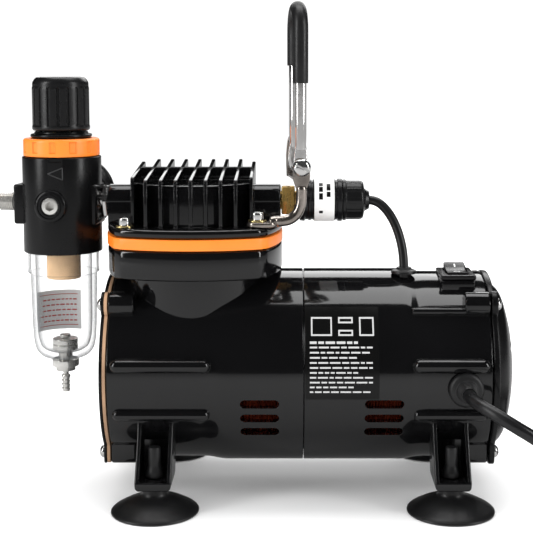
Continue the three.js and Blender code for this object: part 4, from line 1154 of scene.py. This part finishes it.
def label_print():
    """A row of plain marks, then rows of plain bars of uneven length."""
    x0, x1 = LABEL_X[0] + 2.2, LABEL_X[1] - 2.2
    prints = []
    line = 0.7
    frames = ((0.6, 10, 84, 92), (13.6, 7, 89.4, 92), (13.6, 7, 84, 86.6), (23.6, 7, 84, 92))
    for at, width, low, high in frames:
        left, right = x0 + at, x0 + at + width
        prints += [label_patch(left, right, z, z + line) for z in (low, high - line)]
        prints += [label_patch(x, x + line, low, high) for x in (left, right - line)]
    for row in range(11):
        z = 81.6 - 2.3 * row
        thick = 1.1 if row == 0 else 0.75
        at, end = x0, x1 - (1 if row % 3 else 8)
        while at < end - 1.5:
            word = min(random.uniform(1.6, 5.2), end - at)
            prints.append(label_patch(at, at + word, z - thick, z))
            at += word + 0.8
    return gather(*prints)


ground = label_patch(*LABEL_X, *LABEL_Z, 0.04)
piece("label_ground", ground, "black_plastic", look=LABEL_GROUND)
piece("label_bars", label_print(), "white_plastic", look=LABEL_GREY)


# -------- lead, gland and plug
def lead_gland():
    ribs = []
    for i in range(4):
        y, crest, groove = -51.6 - 1.6 * i, 4.9 - 0.2 * i, 4.2 - 0.12 * i
        ribs += [(crest, y, 0.2), (crest, y - 0.9, 0.2), (groove, y - 1.1, 0.1), (groove, y - 1.4, 0.1)]
    return lathe("y", (LEAD_EXIT[0], 0, LEAD_EXIT[2]), [
        (3.02, -38.6), (6, -38.6), (6, -47.1), (8.4, -47.1, 0.3), (8.4, -49.2, 0.8), (7.2, -50.4, 0.6),
        (5.2, -50.8, 0.3), *ribs, (3.6, -58.5, 0.2), (3.02, -58.5),
    ], 72, 0.15)


def plug():
    """A tapering body with finger grips, mirrored about its middle."""
    half = [(6, 0, 2), (9.5, 8, 4), (13, 15, 4), (16.5, 35.5, 1.2)]
    right = [(PLUG_X + x, PLUG_Y + y, r) for x, y, r in half]
    left = [(PLUG_X - x, PLUG_Y + y, r) for x, y, r in half]
    outline = [left[0], *right, *reversed(left[1:])]
    body = prism("z", outline, 0.1, 13.9, 3.4, 1)
    grips = []
    for x in (PLUG_X - 11, PLUG_X + 11):
        for i in range(4):
            grips.append(block((x, PLUG_Y + 12.8 + 4 * i), 1.2, 0.8, 12.9, 16, 0, 0.3))
    return cut(body, *grips)


def plug_pin(side):
    return lathe("y", (PLUG_X + 9.4 * side, 0, PLUG_Z), [(0, 58), (2, 58), (2, 76.4, 1.2), (0, 78)], 40)


lead, lead_length = make_lead()
lead.data.materials.append(WOUND_CABLE)
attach(lead, "root")
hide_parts("mains_lead", "lead_coil")
piece("lead_ribbed_gland", lead_gland(), "black_rubber", ["lead_grommet"])
plug_body = piece("plug_moulding", plug(), "black_rubber", ["mains_plug"])
plug_pins = piece("plug_pins", gather(plug_pin(-1), plug_pin(1)), "plain_steel")

# -------- CAD nodes that stay
slots = {row["node"]: row["material_slot"] for row in frame["record"]["subparts"]}
for name, node in frame["nodes"].items():
    if not node.hide_render:
        node.data.materials.clear()
        node.data.materials.append(LOOKS[slots[name]])


# -------- studio
def matt(name, grey):
    color = (grey, grey, grey, 1)
    return principled(name, {"Base Color": color, "Roughness": 0.9, "Specular IOR Level": 0.0})


def softbox(name, size, location, target, power):
    light = bpy.data.lights.new(name, "AREA")
    light.shape = "RECTANGLE"
    light.size, light.size_y = size
    light.energy = power
    made = add_object(name, light)
    made.location = location
    made.rotation_euler = (Vector(target) - Vector(location)).to_track_quat("-Z", "Y").to_euler()


bpy.ops.mesh.primitive_plane_add(size=1, location=(0, 0, -0.0002))
floor = bpy.context.object
floor.name = "floor"
floor.scale = (30, 30, 1)
floor.data.materials.append(matt("floor", 0.96))

# What reflections see of the floor: a dim table round the object, and darkness outside it.
SURROUND_R, TABLE_R = 24, 0.3
bpy.ops.mesh.primitive_circle_add(vertices=64, radius=SURROUND_R, location=(0, 0, 0.0005), fill_type="NGON")
surround = bpy.context.object
surround.name = "dark_surround"
outer = bmesh.new()
outer.from_mesh(surround.data)
table = outer.faces[:][0]
bmesh.ops.inset_region(outer, faces=[table], thickness=SURROUND_R - TABLE_R)
table.material_index = 1
outer.to_mesh(surround.data)
outer.free()
surround.data.materials.append(matt("dark_surround", 0.01))
surround.data.materials.append(matt("dim_table", 0.4))
surround.visible_camera = False
surround.visible_diffuse = False
surround.visible_shadow = False
surround.visible_transmission = False

world = bpy.data.worlds.new("studio")
scene.world = world
world.use_nodes = True
tree = world.node_tree
tree.nodes.clear()
bright = add_node(tree, "Background", {"Color": (1, 1, 1, 1), "Strength": 1.08})
dark = add_node(tree, "Background", {"Color": (0.012, 0.012, 0.012, 1)})
path = add_node(tree, "LightPath")
mix = add_node(tree, "MixShader")
out = add_node(tree, "OutputWorld")
link = tree.links.new
link(path.outputs["Is Glossy Ray"], mix.inputs["Fac"])
link(bright.outputs["Background"], mix.inputs[1])
link(dark.outputs["Background"], mix.inputs[2])
link(mix.outputs["Shader"], out.inputs["Surface"])

softbox("top_box", (1.1, 0.7), (0.0, 0.25, 1.3), (0, 0, 0.1), 9)
softbox("left_box", (0.25, 0.9), (-1.0, -0.55, 0.55), (0, 0, 0.12), 6)
softbox("right_box", (0.25, 0.9), (1.1, -0.5, 0.55), (0, 0, 0.12), 6)
softbox("back_box", (1.4, 0.6), (0.1, 1.3, 0.9), (0, 0, 0.1), 8)
